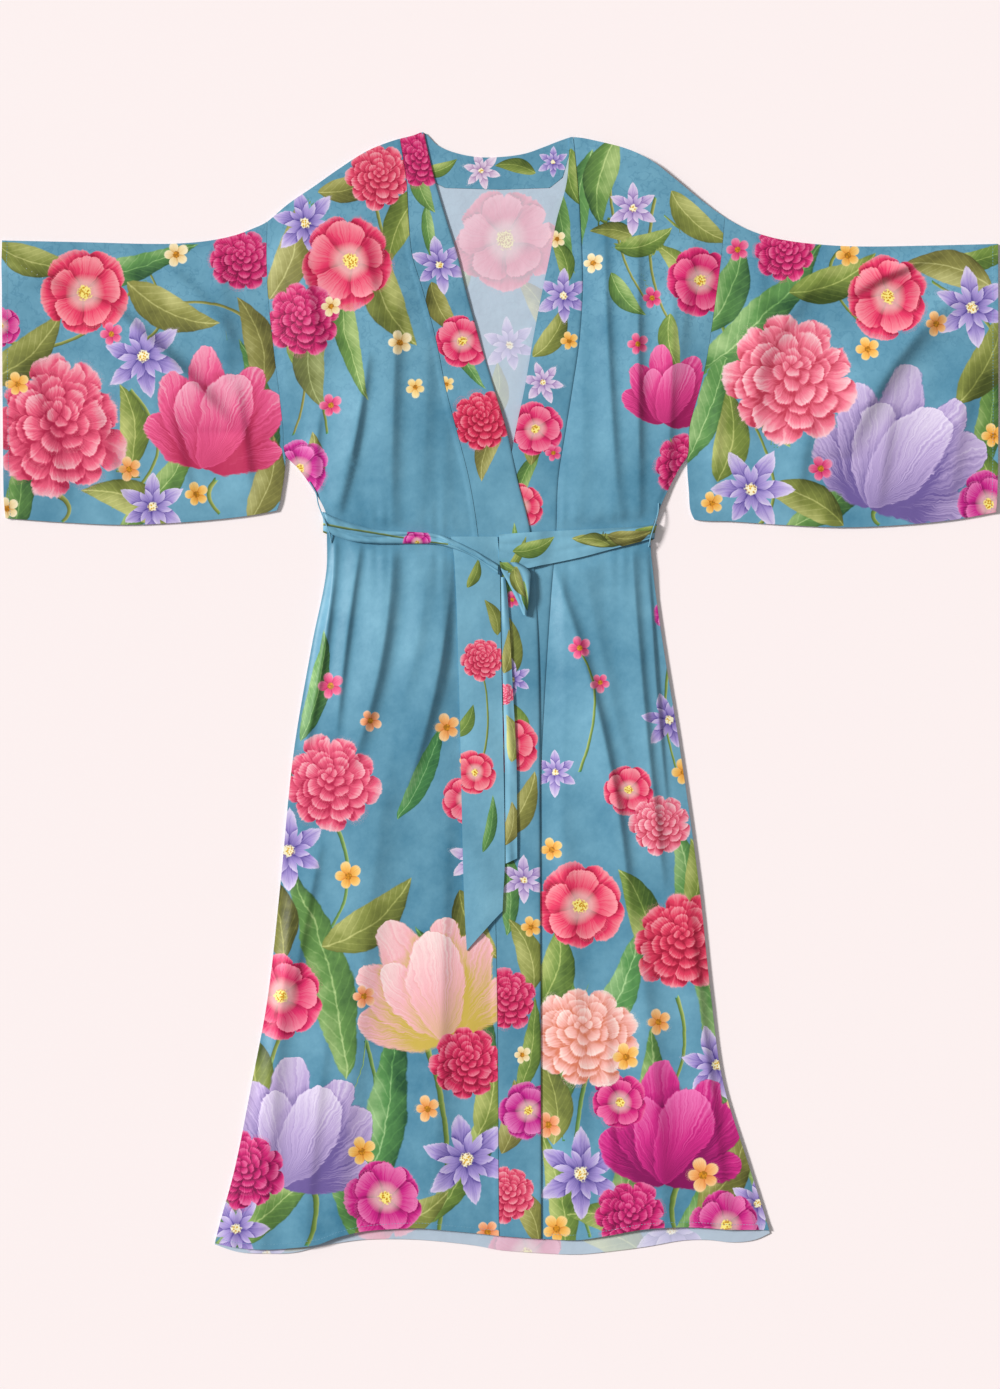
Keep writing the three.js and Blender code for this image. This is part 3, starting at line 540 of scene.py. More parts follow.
def printed_satin(name, kinds, wrong_side=False, fade=0.15, bath_and_painted_light=-0.69):
    """Satin dyed all in one vat, with its print on top, its fine weave, and its sheen. Its teal ground is
    a little lighter towards the shoulders, and bath_and_painted_light sets how light it is: the dye's
    own level, which for the belt is raised as painted light."""
    made, ink, shader = material(name, 0.45, Sheen_Weight=0.03, Sheen_Roughness=0.35, Specular_IOR_Level=0.32)
    spot = ink.node("TexCoord", out=3)
    waver = ink.node("TexNoise", None, {"Vector": spot, "Scale": 19.0, "Detail": 4.0, "Roughness": 0.6}, 1)
    sway = ink.node("VectorMath", {"operation": "SUBTRACT"}, {0: waver, 1: (0.5, 0.5, 0.5)})
    brush = ink.node("TexNoise", None, {"Vector": spot, "Scale": 7.0, "Detail": 6.0, "Roughness": 0.68})

    def streaks(place):
        return ink.node("TexNoise", {"noise_dimensions": "1D"},
                        {"W": place + brush * 2.2, "Scale": 4.0, "Detail": 4.0, "Roughness": 0.62})

    ground = (brush * 2.2 + spot.part(1) * fade).held(1, bath_and_painted_light)
    ground = ground.tint(colour(66, 125, 153), colour(126, 180, 202))
    lines = abs((waver.part(0) * 9 + brush * 7).math("FRACT") - 0.5)
    etched = (1 - lines * 7).held() * (spot.part(1) - 0.26).held(5) * 0.4
    shade = etched.tint(ground, colour(64, 120, 150))
    if "stem" in kinds:
        place = ink.node("Attribute", {"attribute_name": "stem"}, out=1)
        off, along, tint = (place.part(i) for i in range(3))
        off = off + sway.part(1) * 2.6
        body = (1.15 - along * 0.35 - abs(off)).held(3.5) * (tint > 0.15)
        shade = body.tint(shade, dyed((off * 0.4 + brush * 0.6).held(1, 0.15), tint, "green"))
    for kind, crisp, veins in [("blade", 70, 7), ("leaf", 45, 5)]:
        if kind in kinds:
            outline, green = leaf(ink, kind, sway, brush, crisp, veins)
            shade = outline.tint(shade, green)
    stamens = ink.node("TexVoronoi", None, {"Vector": spot, "Scale": 420.0})
    if "star" in kinds:
        outline, petal, radius = flower(ink, "star", sway, streaks, [
            (1.0, 6, 0.0, 0.6, 1.1, 0.16), (0.68, 6, 0.5, 0.5, 1.2, 0.16)], 0.12, 0.6, 40)
        petal = eye(petal, radius, 0.14, stamens, colour(226, 180, 60), colour(252, 244, 206))
        shade = outline.tint(shade, petal)
    if "fan" in kinds:
        outline, petal = fan(ink, sway, streaks)
        shade = outline.tint(shade, petal)
    if "open" in kinds:
        outline, petal, radius = flower(ink, "open", sway, streaks, [
            (1.0, 5, 0.0, 0.14, 4.0, 0.14), (0.86, 5, 0.45, 0.2, 3.0, 0.16)], 0.08, 0.35, 40, 0.3)
        petal = ((0.42 - radius) * 3).held().math("MINIMUM", 0.55).tint(petal, colour(250, 214, 206))
        petal = eye(petal, radius, 0.17, stamens, colour(206, 148, 24), colour(252, 234, 130))
        shade = outline.tint(shade, petal)
    if "bloom" in kinds:
        outline, petal, radius = flower(ink, "bloom", sway, streaks, [
            (1.0, 9, 0.0, 0.16, 3.4, 0.14), (0.86, 9, 0.5, 0.18, 3.0, 0.14), (0.69, 8, 0.2, 0.2, 2.6, 0.18),
            (0.52, 7, 0.6, 0.2, 2.4, 0.2), (0.35, 6, 0.1, 0.24, 2.2, 0.24), (0.19, 4, 0.4, 0.3, 2.0, 0.3)],
            0.02, 0.0, 40, 0.3, 0.035)
        shade = outline.tint(shade, petal)
    if "blossom" in kinds:
        outline, petal, radius = flower(ink, "blossom", sway, streaks, [
            (1.0, 5, 0.0, 0.4, 2.4, 0.2)], 0.1, 0.4, 14)
        petal = eye(petal, radius, 0.24, stamens, colour(214, 140, 24), colour(170, 110, 20))
        shade = outline.tint(shade, petal)
    if wrong_side:
        shade = ink.node("Mix", {"data_type": "RGBA"}, {0: 0.55, 6: shade, 7: colour(228, 230, 240)}, 2)
    threads = ink.node("Mapping", None, {"Vector": spot, "Scale": (2600.0, 900.0, 900.0)})
    weave = ink.node("TexNoise", None, {"Vector": threads, "Scale": 1.0, "Detail": 1.0})
    crumple = ink.node("TexNoise", None, {"Vector": spot, "Scale": 38.0, "Detail": 3.0})
    height = weave * 0.15 + crumple * 2.2
    relief = ink.node("Bump", None, {"Strength": 0.4, "Distance": 0.001, "Height": height})
    ink.tree.links.new(shade.socket, shader.inputs["Base Color"])
    ink.tree.links.new(relief.socket, shader.inputs["Normal"])
    return made


ALL_KINDS = ("stem", "leaf", "blade", "star", "fan", "open", "bloom", "blossom")
robe_satin = printed_satin("robe_print", ALL_KINDS)
robe_inside = printed_satin("robe_wrong_side", ("leaf", "star", "open"), wrong_side=True)
# Painted light: the belt is the robe's own satin, but its teal ground is painted lighter and does not darken
# towards the hem.
belt_satin_painted_lighter = printed_satin("belt_print_painted_light", ("stem", "leaf", "blade", "open", "bloom"), fade=0.0, bath_and_painted_light=-0.34)
band_satin = robe_satin.copy()
band_satin.name = "band_print"

# Where no motif reaches a piece, it has the same satin without the print; the belt's bare satin keeps its
# ground painted lighter as painted light.
bare = {"robe_print": printed_satin("robe_bare", ()),
        "robe_wrong_side": printed_satin("robe_wrong_side_bare", (), wrong_side=True),
        "belt_print_painted_light": printed_satin("belt_bare_painted_light", (), fade=0.0, bath_and_painted_light=-0.34)}
bare["band_print"] = bare["robe_print"]

MOTIF = "x y size turn tint"
STEM = "x1 y1 x2 y2 x3 y3 half tint"
BACK_PRINT = {
    "leaf": table(MOTIF, [[-58, 1124, 40, 40, .2], [44, 1100, 40, 120, .5], [-6, 1000, 36, 80, .3],
                          [-230, 30, 50, 20, .5], [120, 20, 60, 160, .3], [-80, 200, 70, 70, .4],
                          [90, 420, 80, 100, .1], [-60, 640, 70, 80, .5]]),
    "star": table(MOTIF, [[12, 1056, 36, 10, .2], [-180, 420, 90, 0, .2], [130, 700, 70, 20, .3],
                          [-270, 0, 40, 0, .3], [200, 30, 50, 0, .2]]),
    "open": table(MOTIF, [[6, 1178, 66, 20, .3], [60, 560, 80, 10, .6], [-120, 860, 60, 0, .2],
                          [30, 0, 50, 0, .5], [160, 220, 80, 30, .8], [-140, 80, 70, 0, .3]]),
}
YOKE = [-270, -238, -206, -175, -145, -120, -100, -87, -64, -32, 0,
        30, 58, 73, 86, 110, 140, 170, 200, 230, 261]
x, y = panel(
    lambda h: side["right"](h) + SEAM / 2, lambda h: side["left"](h) - SEAM / 2, back_hem,
    lambda across: np.where((across > NECKLINE["across"][0]) & (across < NECKLINE["across"][-1]),
                            neckline(across), top(across)),
    between(YOKE, 6), 200)
back = cloth("back", x, y, under_back(y) + CLOTH, [robe_inside, robe_satin], CLOTH)
lay_print(back, x, y, BACK_PRINT)
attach(back, "root")
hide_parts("back")

# ---- Neck band --------------------------------------------------------------------------------
# The stretch of the band behind the neck: a strip of the printed satin folded double and sewn to the
# back's neckline. It reaches from that seam to the robe's top edge.

x = np.repeat(np.linspace(-96, 82, 61)[None], 9, 0)
foot = np.maximum(np.maximum(neckline(x - SEAM), neckline(x)), neckline(x + SEAM)) + SEAM
y = mix(foot, top(x), np.linspace(0, 1, 9)[:, None])
neckband = cloth("neckband_back", x, y, np.full_like(x, DOUBLE), [band_satin, band_satin], DOUBLE)
lay_print(neckband, x, y, {
    "leaf": table(MOTIF, [[-70, 1262, 22, 20, .3], [18, 1262, 24, 170, .4]]),
    "star": table(MOTIF, [[-22, 1258, 26, 15, .7], [62, 1268, 20, 0, .2]]),
})
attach(neckband, "root")
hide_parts("neckband_back")

# ---- Fronts and their bands -------------------------------------------------------------------
# Each front is one width, sewn to the back at side and shoulder, with a band of doubled satin along
# its free edge. The right front crosses over the left. The belt gathers both into soft folds.

# How high the right front's inner edge lies below and above the crossing, and the left one's; how
# far an armhole's layers puff apart, and a front's middle stands off the back.
FRONT_OVERLAP, CHEST_LAYER, LEFT_LAYER, PUFF, DRAPE = 3.0, 1.0, 0.6, 0.8, 3.0
FRONT_COLUMNS, FRONT_ROWS = {"right": 130, "left": 112}, 280
STITCH_LINE = 6.0  # from the edge of a turned hem to its stitches
BANDS = table("height rightSeam rightFree leftFree leftSeam", [
    [0, -1, 48, -8, 41], [340, -4, 47, -6, 43], [540, -10, 46, -4, 47], [650, -13.5, 45.5, -2, 52],
    [760, -19, 42, 1, 59], [838, -26, 35, 5, 65], [900, -36, 20, 9, 67.5], [955, -50, 8, 18, 76],
    [1005, -63, -7, 28.5, 84], [1060, -74, -23.5, 38, 92], [1120, -90, -40, 49.5, 96],
    [1160, -102, -49.5, 58, 95.5], [1200, -106, -62, 65.5, 93.5], [1245, -108.5, -75, 77.5, 90.5],
    [1300, -117, -88, 81, 85]])
band = {edge: line(BANDS, "height", edge) for edge in ("rightSeam", "rightFree", "leftFree", "leftSeam")}

# Each fold runs through three points, top, middle and foot. Rise is its height, width how far it
# spreads to its left, and crease how much steeper its right side falls, 0 for a soft even roll.
FOLDS = "topX topY midX midY footX footY rise width crease"
RIGHT_FOLDS = table(FOLDS, [
    [-120, 1120, -125, 958, -127, 838, 5.8, 22, .7], [-152, 1050, -177, 905, -195, 836, 6.8, 16, .9],
    [-84, 1090, -88, 950, -92, 838, 2.8, 20, .4], [-206, 990, -213, 910, -207, 856, 3.4, 11, .7],
    [-60, 1000, -62, 930, -60, 838, 1.8, 16, .2], [-160, 1190, -150, 1130, -130, 1070, 3.8, 18, .5],
    [-236, 1180, -222, 1110, -204, 1030, 4.4, 20, .6], [-192, 838, -200, 728, -228, 580, 5.8, 14, .9],
    [-160, 836, -178, 713, -190, 600, 5.6, 14, .9], [-126, 838, -133, 722, -174, 565, 8.8, 25, .8],
    [-56, 812, -69, 690, -116, 520, 8.0, 25, .85], [-88, 836, -92, 740, -120, 630, 2.8, 18, .3],
    [-208, 480, -226, 385, -244, 290, 4.0, 16, .8], [-130, 600, -160, 330, -192, 10, 4.6, 34, .5],
    [-240, 430, -262, 200, -282, -20, 4.6, 26, .6], [-56, 560, -70, 280, -78, 0, 3.6, 28, .5],
    [-292, 270, -306, 130, -314, -20, 3.4, 16, .6], [-196, 300, -214, 150, -228, -10, 2.8, 18, .6],
    [-24, 420, -34, 200, -36, 10, 1.8, 16, .4]])
LEFT_FOLDS = table(FOLDS, [
    [120, 1205, 126, 1029, 140, 836, 5.4, 19, .9], [160, 1195, 160, 1000, 162, 838, 5.6, 19, .9],
    [200, 1130, 198, 1000, 190, 848, 3.4, 14, .6], [92, 1120, 94, 1000, 92, 838, 2.2, 20, .3],
    [224, 1180, 214, 1110, 206, 1000, 2.8, 16, .4], [50, 828, 97, 690, 152, 370, 8.0, 22, .95],
    [152, 832, 168, 625, 191, 420, 6.2, 18, .9], [172, 828, 183, 640, 195, 510, 3.6, 9, .9],
    [92, 828, 120, 680, 160, 520, 2.8, 20, .4], [62, 560, 84, 330, 92, 10, 3.4, 28, .5],
    [150, 430, 176, 220, 190, 0, 4.2, 28, .6], [214, 430, 240, 220, 268, 0, 4.2, 20, .6],
    [270, 230, 284, 110, 298, 0, 3.0, 14, .6], [120, 330, 126, 180, 130, 10, 2.2, 16, .5]])


def folded(folds, x, y):
    """The sum of the folds' heights: each is rise times e to minus a power of the distance from its
    line in widths, steeper on its right, and swells from nothing at its two ends."""
    total = np.zeros_like(x)
    for top_x, top_y, mid_x, mid_y, foot_x, foot_y, rise, width, crease in zip(*folds.values()):
        along = np.clip((top_y - y) / (top_y - foot_y), 0, 1)
        middle = (top_y - mid_y) / (top_y - foot_y)
        bow = (mid_x - mix(top_x, foot_x, middle)) / (middle * (1 - middle))
        off = (x - mix(top_x, foot_x, along) - bow * along * (1 - along)) / width
        off = off * np.where(off > 0, 1 + 2.2 * crease, 1 - 0.4 * crease)
        total += rise * np.sin(np.pi * along) ** 0.6 * np.exp(-np.abs(off) ** (2 - 0.5 * crease))
    return total


def ripple(x, y, seed):
    """Slight unevenness of laid cloth: a few long waves of different lengths and directions, added."""
    waves = np.random.default_rng(seed).uniform([0.012, -3.1, 0], [0.05, 3.1, 6.3], (9, 3))
    return sum(np.sin((x * np.cos(a) + y * np.sin(a)) * k + p) * 0.006 / k for k, a, p in waves)


BELT_COURSE = table("across low high", [
    [-207, 838, 864], [-143, 824, 843], [-57, 819, 833], [-31, 807, 824], [0, 797, 838], [19, 794, 839],
    [93, 808, 843], [182, 831, 850]])


def pressed(x, y):
    """How much of a fold is left: a tenth under the belt, and all of it from 15 mm beside the belt."""
    low, high = (np.interp(x, BELT_COURSE["across"], BELT_COURSE[edge]) for edge in ("low", "high"))
    return mix(0.1, 1, ease(np.maximum(low - y, y - high), -1, 15))


def armhole_rise(x, y):
    """A sewn armhole's two layers puff apart: 4s(1 - s) of the way up from underarm to shoulder."""
    s = np.clip((y - UNDERARM) / (top(x) - UNDERARM), 0, 1)
    return PUFF * 4 * s * (1 - s)


def under_front(wearer, x, y):
    """How high a front's underside lies: on the back, lifted from its side seam to its band, with
    the puff of laid cloth between, its folds, and small gathers above and below the belt."""
    right = wearer == "right"
    edge, seam = side[wearer](y), band[wearer + "Seam"](y)
    s = np.clip((x - edge) / (seam - edge), 0, 1)
    inner = mix(FRONT_OVERLAP, CHEST_LAYER, ease(y, 965, 1035)) if right else LEFT_LAYER
    clear = ease(-42 - x, 0, 26) if right else ease(x - 50, 0, 26)
    clear = np.where(y > 1020, np.maximum(clear, 0.25), clear)
    press = pressed(x, y) * clear * ease(s, 0, 0.07)
    gathers = 0.5 * np.sin(x * 0.36 + 1.6 * np.sin(x * 0.09)) * np.exp(-np.abs(y - 830) / 30)
    shape = folded(RIGHT_FOLDS if right else LEFT_FOLDS, x, y) + gathers + ripple(x, y, 3 if right else 5)
    lift = mix(armhole_rise(x, y), inner - SEAM, s ** 3) + DRAPE * 4 * s * (1 - s) * pressed(x, y)
    return under_back(y) + CLOTH + SEAM + np.maximum(lift + shape * press, 0.05)


def hem_roll(distance):
    """A narrow hem, turned twice: the cloth stands a little thicker within 6 mm of its edge."""
    return 0.55 * (1 - ease(distance, 5.0, 6.4))


def over_panel(wearer, x, y):
    """A front's upper side: one layer above its underside."""
    return under_front(wearer, x, y) + CLOTH


thread, ink, shader = material("sewing_thread", 0.7, Sheen_Weight=0.3)
fibres = ink.node("TexNoise", None, {"Vector": ink.node("TexCoord", out=3), "Scale": 1500.0, "Detail": 2.0})
fibres = fibres.tint(colour(76, 134, 160), colour(134, 186, 206))
ink.tree.links.new(fibres.socket, shader.inputs["Base Color"])


def beside_edge(away, distance, *values):
    """A path on a cloth: the values read at one distance from an edge, in each column of a grid."""
    return np.stack([[np.interp(distance, a, b) for a, b in zip(away.T, rows.T)] for rows in values], 1)


def stitches(name, path, length=2.5, pitch=3.5):
    """Stitches along a path: each is a small pad of thread, highest in its middle, whose two ends dip
    into the cloth. Its points are four rings of four, drawn out along the path."""
    gone = np.r_[0, np.cumsum(np.linalg.norm(np.diff(path, axis=0), axis=1))]
    read = lambda where: np.stack([np.interp(where, gone, path[:, i]) for i in range(3)], 1)
    middle = np.arange(2.0, gone[-1] - 2.0, pitch)
    ahead = read(middle + 1) - read(middle - 1)
    ahead /= np.linalg.norm(ahead, axis=1)[:, None]
    beside, above = np.cross(ahead, [0, 0, 1.0])[:, None, None], np.array([0, 0, 1.0])
    along, thick = np.array([-0.5, -0.3, 0.3, 0.5]) * length, np.array([0.35, 1, 1, 0.35])
    wide, high = np.array([[0.26, 0, -0.26, 0], [0, 0.2, 0, -0.2]])[:, None] * thick[:, None]
    sink = np.array([-0.16, 0.02, 0.02, -0.16])
    points = (read(middle)[:, None, None] + ahead[:, None, None] * along[:, None, None]
              + beside * wide[..., None] + above * (high + sink[:, None])[..., None])
    at = np.arange(16).reshape(4, 4)
    after = np.roll(at, -1, 1)
    walls = np.stack([at[:-1], after[:-1], after[1:], at[1:]], -1).reshape(-1, 4)
    pad = np.concatenate([walls, [at[0], at[-1, ::-1]]])
    faces = (pad + 16 * np.arange(len(middle))[:, None, None]).reshape(-1, 4)
    made = piece(name, points.reshape(-1, 3) / 1000, faces, [thread])
    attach(made, "root")


RIGHT_PRINT = {
    "stem": table(STEM, [[-84, 240, -62, 130, -74, 16, 3.4, .3], [-222, 90, -214, 50, -224, 10, 3.6, .3],
                         [-236, 300, -272, 200, -304, 60, 2.6, .4],
                         [-196, 510, -176, 440, -196, 380, 2.4, .2],
                         [-186, 1110, -206, 1040, -200, 950, 2.2, .4],
                         [-236, 1060, -226, 1010, -240, 950, 1.8, .6],
                         [-150, 1240, -130, 1160, -112, 1090, 2.0, .5],
                         [-24, 420, -14, 330, -26, 240, 2.0, .3],
                         [-156, 250, -140, 150, -150, 20, 2.4, .2]]),
    "leaf": table(MOTIF, [[-128, 1108, 62, -66, .5], [-246, 1160, 56, 74, .7], [-112, 1196, 50, -116, .4],
                          [-150, 392, 66, 38, .5], [-266, 400, 60, 112, .6], [-28, 380, 48, -60, .55],
                          [-112, 44, 60, 24, .5], [-216, 1030, 50, -84, .8], [-292, 214, 62, 100, .45],
                          [-170, 1242, 42, 20, .6], [-220, 915, 40, 80, .6], [-262, 560, 44, 80, .3],
                          [-14, 190, 52, 84, .4]]),
    "blade": table(MOTIF, [[-302, 120, 118, 68, .1], [-262, 60, 92, 40, .2], [-206, 330, 128, 106, .15],
                           [-138, 170, 128, 80, .05], [-34, 120, 96, 62, .3], [-176, 60, 96, 112, .1],
                           [-214, 660, 66, 78, .1], [-172, 1060, 74, -78, .2], [-48, 300, 96, 118, .1],
                           [-90, 560, 62, 66, .0], [-246, 1090, 60, 100, .3]]),
    "star": table(MOTIF, [[-226, 1196, 46, 15, .1], [-38, 110, 62, 12, .1], [-246, 470, 50, 0, .12],
                          [-306, 30, 46, 30, .2], [-30, 460, 34, 10, .6]]),
    "fan": table(MOTIF, [[-84, 322, 98, 12, .33], [-228, 150, 96, -16, .02]]),
    "open": table(MOTIF, [[-176, 1152, 58, 20, .2], [-252, 300, 52, 0, .35], [-134, 66, 50, 0, .8],
                          [-232, 912, 36, 0, .9], [-40, 528, 30, 30, .2]]),
    "bloom": table(MOTIF, [[-196, 548, 60, 10, .42], [-296, 96, 50, 40, .95], [-230, 1084, 46, 0, .9],
                           [-38, 222, 46, 0, .75], [-140, 1250, 40, 0, .55]]),
    "blossom": table(MOTIF, [[-116, 1058, 17, 0, .1], [-98, 1006, 13, 20, .2], [-196, 985, 15, 0, .9],
                             [-62, 612, 18, 0, .45], [-36, 568, 14, 30, .45], [-150, 620, 15, 10, .5],
                             [-160, 120, 19, 0, .4], [-310, 262, 18, 0, .45], [-196, 660, 17, 0, .9],
                             [-176, 440, 18, 0, .4], [-14, 26, 17, 20, .5], [-158, 300, 16, 0, .5],
                             [-196, 1100, 14, 0, .1], [-84, 170, 17, 0, .45]]),
}
LEFT_PRINT = {
    "stem": table(STEM, [[206, 84, 200, 50, 212, 8, 3.4, .3], [106, 220, 88, 130, 104, 20, 2.8, .2],
                         [204, 300, 214, 240, 196, 190, 2.4, .3], [92, 560, 110, 640, 92, 700, 1.8, .3],
                         [180, 1226, 176, 1140, 206, 1070, 2.0, .5],
                         [128, 1240, 142, 1160, 176, 1100, 1.8, .5],
                         [206, 720, 192, 640, 206, 560, 1.8, .3], [276, 190, 264, 110, 284, 20, 2.4, .2]]),
    "leaf": table(MOTIF, [[120, 1246, 52, -100, .2], [168, 1176, 36, 20, .3], [204, 1148, 34, 130, .4],
                          [146, 1112, 32, -50, .2], [230, 1200, 46, -40, .5], [200, 1058, 34, -80, .3],
                          [132, 1186, 28, 170, .5], [60, 330, 56, 76, .3], [134, 36, 58, 164, .3],
                          [160, 400, 54, 110, .3], [262, 96, 56, 60, .6], [60, 180, 52, 100, .5],
                          [226, 440, 44, 90, .4]]),
    "blade": table(MOTIF, [[90, 1200, 84, -98, .1], [250, 250, 122, 100, .1], [290, 120, 104, 112, .2],
                           [160, 150, 116, 78, .15], [72, 240, 96, 84, .2], [216, 420, 92, 98, .1],
                           [130, 300, 104, 64, .05], [66, 66, 84, 100, .3], [206, 890, 60, 95, .3],
                           [232, 60, 84, 60, .1]]),
    "star": table(MOTIF, [[94, 94, 60, 0, .1], [196, 620, 38, 20, .1], [252, 222, 48, 20, .12],
                          [154, 1214, 34, 0, .5], [64, 560, 30, 0, .3], [300, 60, 40, 0, .3]]),
    "fan": table(MOTIF, [[198, 1008, 58, -12, .85], [204, 152, 92, -12, .95]]),
    "open": table(MOTIF, [[92, 404, 54, 10, .15], [232, 1130, 44, 0, .5], [262, 36, 44, 0, .8],
                          [138, 178, 36, 10, .7], [206, 742, 30, 0, .9], [150, 540, 32, 10, .2]]),
    "bloom": table(MOTIF, [[96, 254, 66, 0, .1], [212, 362, 60, 0, .62], [150, 44, 46, 0, .95],
                           [216, 916, 40, 0, .9], [186, 500, 38, 0, .3]]),
    "blossom": table(MOTIF, [[92, 704, 15, 0, .9], [116, 664, 13, 20, .8], [286, 176, 24, 0, .42],
                             [66, 30, 19, 20, .4], [236, 92, 22, 0, .45], [146, 230, 18, 0, .4],
                             [56, 150, 18, 0, .5], [108, 1150, 14, 0, .1], [176, 1110, 14, 0, .95],
                             [160, 1056, 14, 0, .9], [214, 560, 17, 0, .4], [60, 470, 15, 0, .4],
                             [262, 310, 22, 0, .45], [184, 270, 17, 0, .45]]),
}
RIGHT_BAND_PRINT = {
    "leaf": table(MOTIF, [[-88, 1236, 30, -70, .2], [-66, 1096, 36, -60, .6], [-14, 930, 34, -110, .7],
                          [8, 700, 40, 80, .5], [22, 520, 44, 60, .6], [30, 350, 44, 110, .5],
                          [14, 160, 44, 80, .7], [30, 50, 40, 120, .6], [14, 620, 36, 120, .3]]),
    "blade": table(MOTIF, [[-40, 1040, 44, -60, .1], [12, 800, 50, 80, .2], [8, 430, 60, 95, .1],
                           [34, 240, 60, 80, .3], [-80, 1180, 40, -80, .15]]),
    "star": table(MOTIF, [[-70, 1148, 36, 10, .15], [28, 436, 32, 0, .5], [14, 668, 26, 0, .2]]),
    "open": table(MOTIF, [[-44, 1060, 34, 0, .3], [10, 590, 36, 0, .15], [32, 166, 36, 0, .9]]),
    "bloom": table(MOTIF, [[-22, 968, 38, 0, .7], [8, 296, 38, 0, .8], [8, 70, 36, 0, .5],
                           [-94, 1272, 36, 0, .9]]),
    "blossom": table(MOTIF, [[-62, 1010, 11, 0, .2], [14, 760, 11, 0, .9], [36, 380, 14, 0, .4],
                             [2, 506, 12, 0, .5], [26, 232, 12, 0, .1]]),
}
LEFT_BAND_PRINT = {
    "leaf": table(MOTIF, [[84, 1250, 34, -80, .3], [60, 1070, 36, 60, .5], [34, 950, 34, 100, .6],
                          [72, 1156, 28, 110, .3]]),
    "blade": table(MOTIF, [[74, 1190, 54, -80, .15], [26, 890, 46, -110, .2]]),
    "star": table(MOTIF, [[74, 1112, 36, 0, .2], [50, 1012, 28, 20, .6]]),
    "open": table(MOTIF, [[42, 956, 34, 0, .4], [24, 868, 30, 0, .2]]),
    "blossom": table(MOTIF, [[80, 1060, 12, 0, .4], [66, 1178, 12, 0, .1], [62, 930, 11, 0, .9]]),
}

for wearer, print_rows, band_rows in [("right", RIGHT_PRINT, RIGHT_BAND_PRINT),
                                      ("left", LEFT_PRINT, LEFT_BAND_PRINT)]:
    right = wearer == "right"
    seam, free = band[wearer + "Seam"], band[wearer + "Free"]
    outer = lambda h, w=wearer: side[w](h) + (SEAM / 2 if w == "right" else -SEAM / 2)
    inner = lambda h, s=seam, w=wearer: s(h) + (-SEAM / 2 if w == "right" else SEAM / 2)
    edges = (outer, inner) if right else (inner, outer)
    x, y = panel(*edges, front_hem, top, np.linspace(0, 1, FRONT_COLUMNS[wearer]), FRONT_ROWS)
    allowance = 0.7 * ease(x - seam(y), -8, -2) if right else 0
    over = over_panel(wearer, x, y) + hem_roll(y - front_hem(x)) + allowance
    front = cloth("front_" + wearer, x, y, over, [robe_satin, robe_inside])
    lay_print(front, x, y, print_rows)
    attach(front, "root")
    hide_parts("front_" + wearer)
    stitches(f"hem_stitches_{wearer}", beside_edge(y - y[0], STITCH_LINE, x, y - LENGTH / 2, over))

    sewn = lambda h, s=seam, w=wearer: s(h) + (SEAM / 2 if w == "right" else -SEAM / 2)
    edges = (sewn, free) if right else (free, sewn)
    u = np.r_[0, 0.012, 0.03, np.linspace(0.06, 0.94, 14), 0.97, 0.988, 1]
    x, y = panel(*edges, front_hem, top, u, FRONT_ROWS)
    rounded = 0.8 * np.exp(-(1 - u) / 0.018)
    over = under_front(wearer, seam(y), y) + DOUBLE + hem_roll(y - front_hem(x)) * 0.6 - rounded
    strip = cloth("band_" + wearer, x, y, over, [band_satin, band_satin], DOUBLE)
    lay_print(strip, x, y, band_rows)
    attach(strip, "root")
    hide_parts("band_" + wearer)
    0.062 if wearer == "left" else 0.066
    "back" if wearer == "left" else "band_left"

# ---- Sleeves ----------------------------------------------------------------------------------
# Two wide layers each, sewn together along the top, the bottom and below the armhole, and open at
# the cuff, which has a narrow stitched hem.

THINNER = 0.2  # how much less than a layer the sleeve's back layer takes up
SLEEVE_ENDS = table("height rightCuff rightInner leftInner leftCuff", [
    [845, -573, -268, 232, 573], [856, -574, -264, 224, 575], [866, -575, -258, 220.5, 576],
    [880, -576, -254, 219.5, 577], [UNDERARM, -576.5, -249, 218, 578], [1060, -577.5, -264, 244, 578],
    [1180, -578, -271, 259, 578]])
SLEEVE_HEMS = {
    "right": table("across height", [[-578, 855], [-509, 850], [-438, 847], [-367, 850], [-296, 857],
                                     [-256, 864]]),
    "left": table("across height", [[215, 860], [226, 853], [268, 851], [327, 847], [398, 844], [469, 847],
                                    [528, 853], [578, 862]])}
SLEEVE_FOLDS = {
    "right": table(FOLDS, [
        [-580, 1172, -540, 1138, -470, 1108, 7.0, 24, 1], [-474, 1116, -387, 1042, -310, 955, 12.0, 40, 1],
        [-556, 1060, -530, 960, -506, 862, 4.0, 26, .5], [-474, 985, -452, 920, -438, 856, 3.2, 20, .6],
        [-386, 985, -368, 915, -352, 860, 3.2, 18, .6], [-408, 1164, -350, 1110, -298, 1035, 4.4, 28, .6],
        [-308, 1015, -297, 950, -288, 874, 3.6, 14, .7], [-330, 1178, -322, 1100, -318, 990, 2.8, 22, .4]]),
    "left": table(FOLDS, [
        [558, 1176, 462, 1142, 402, 1108, 8.0, 30, 1], [524, 1112, 453, 1030, 400, 925, 10.5, 40, .7],
        [404, 1168, 350, 1110, 298, 1015, 4.2, 30, .6], [550, 1055, 532, 960, 520, 866, 3.8, 24, .5],
        [456, 995, 446, 930, 436, 856, 3.2, 18, .6], [362, 985, 350, 915, 340, 860, 3.2, 18, .6],
        [300, 1168, 300, 1070, 294, 945, 3.0, 20, .4], [258, 1015, 252, 950, 246, 874, 3.4, 12, .7]])}
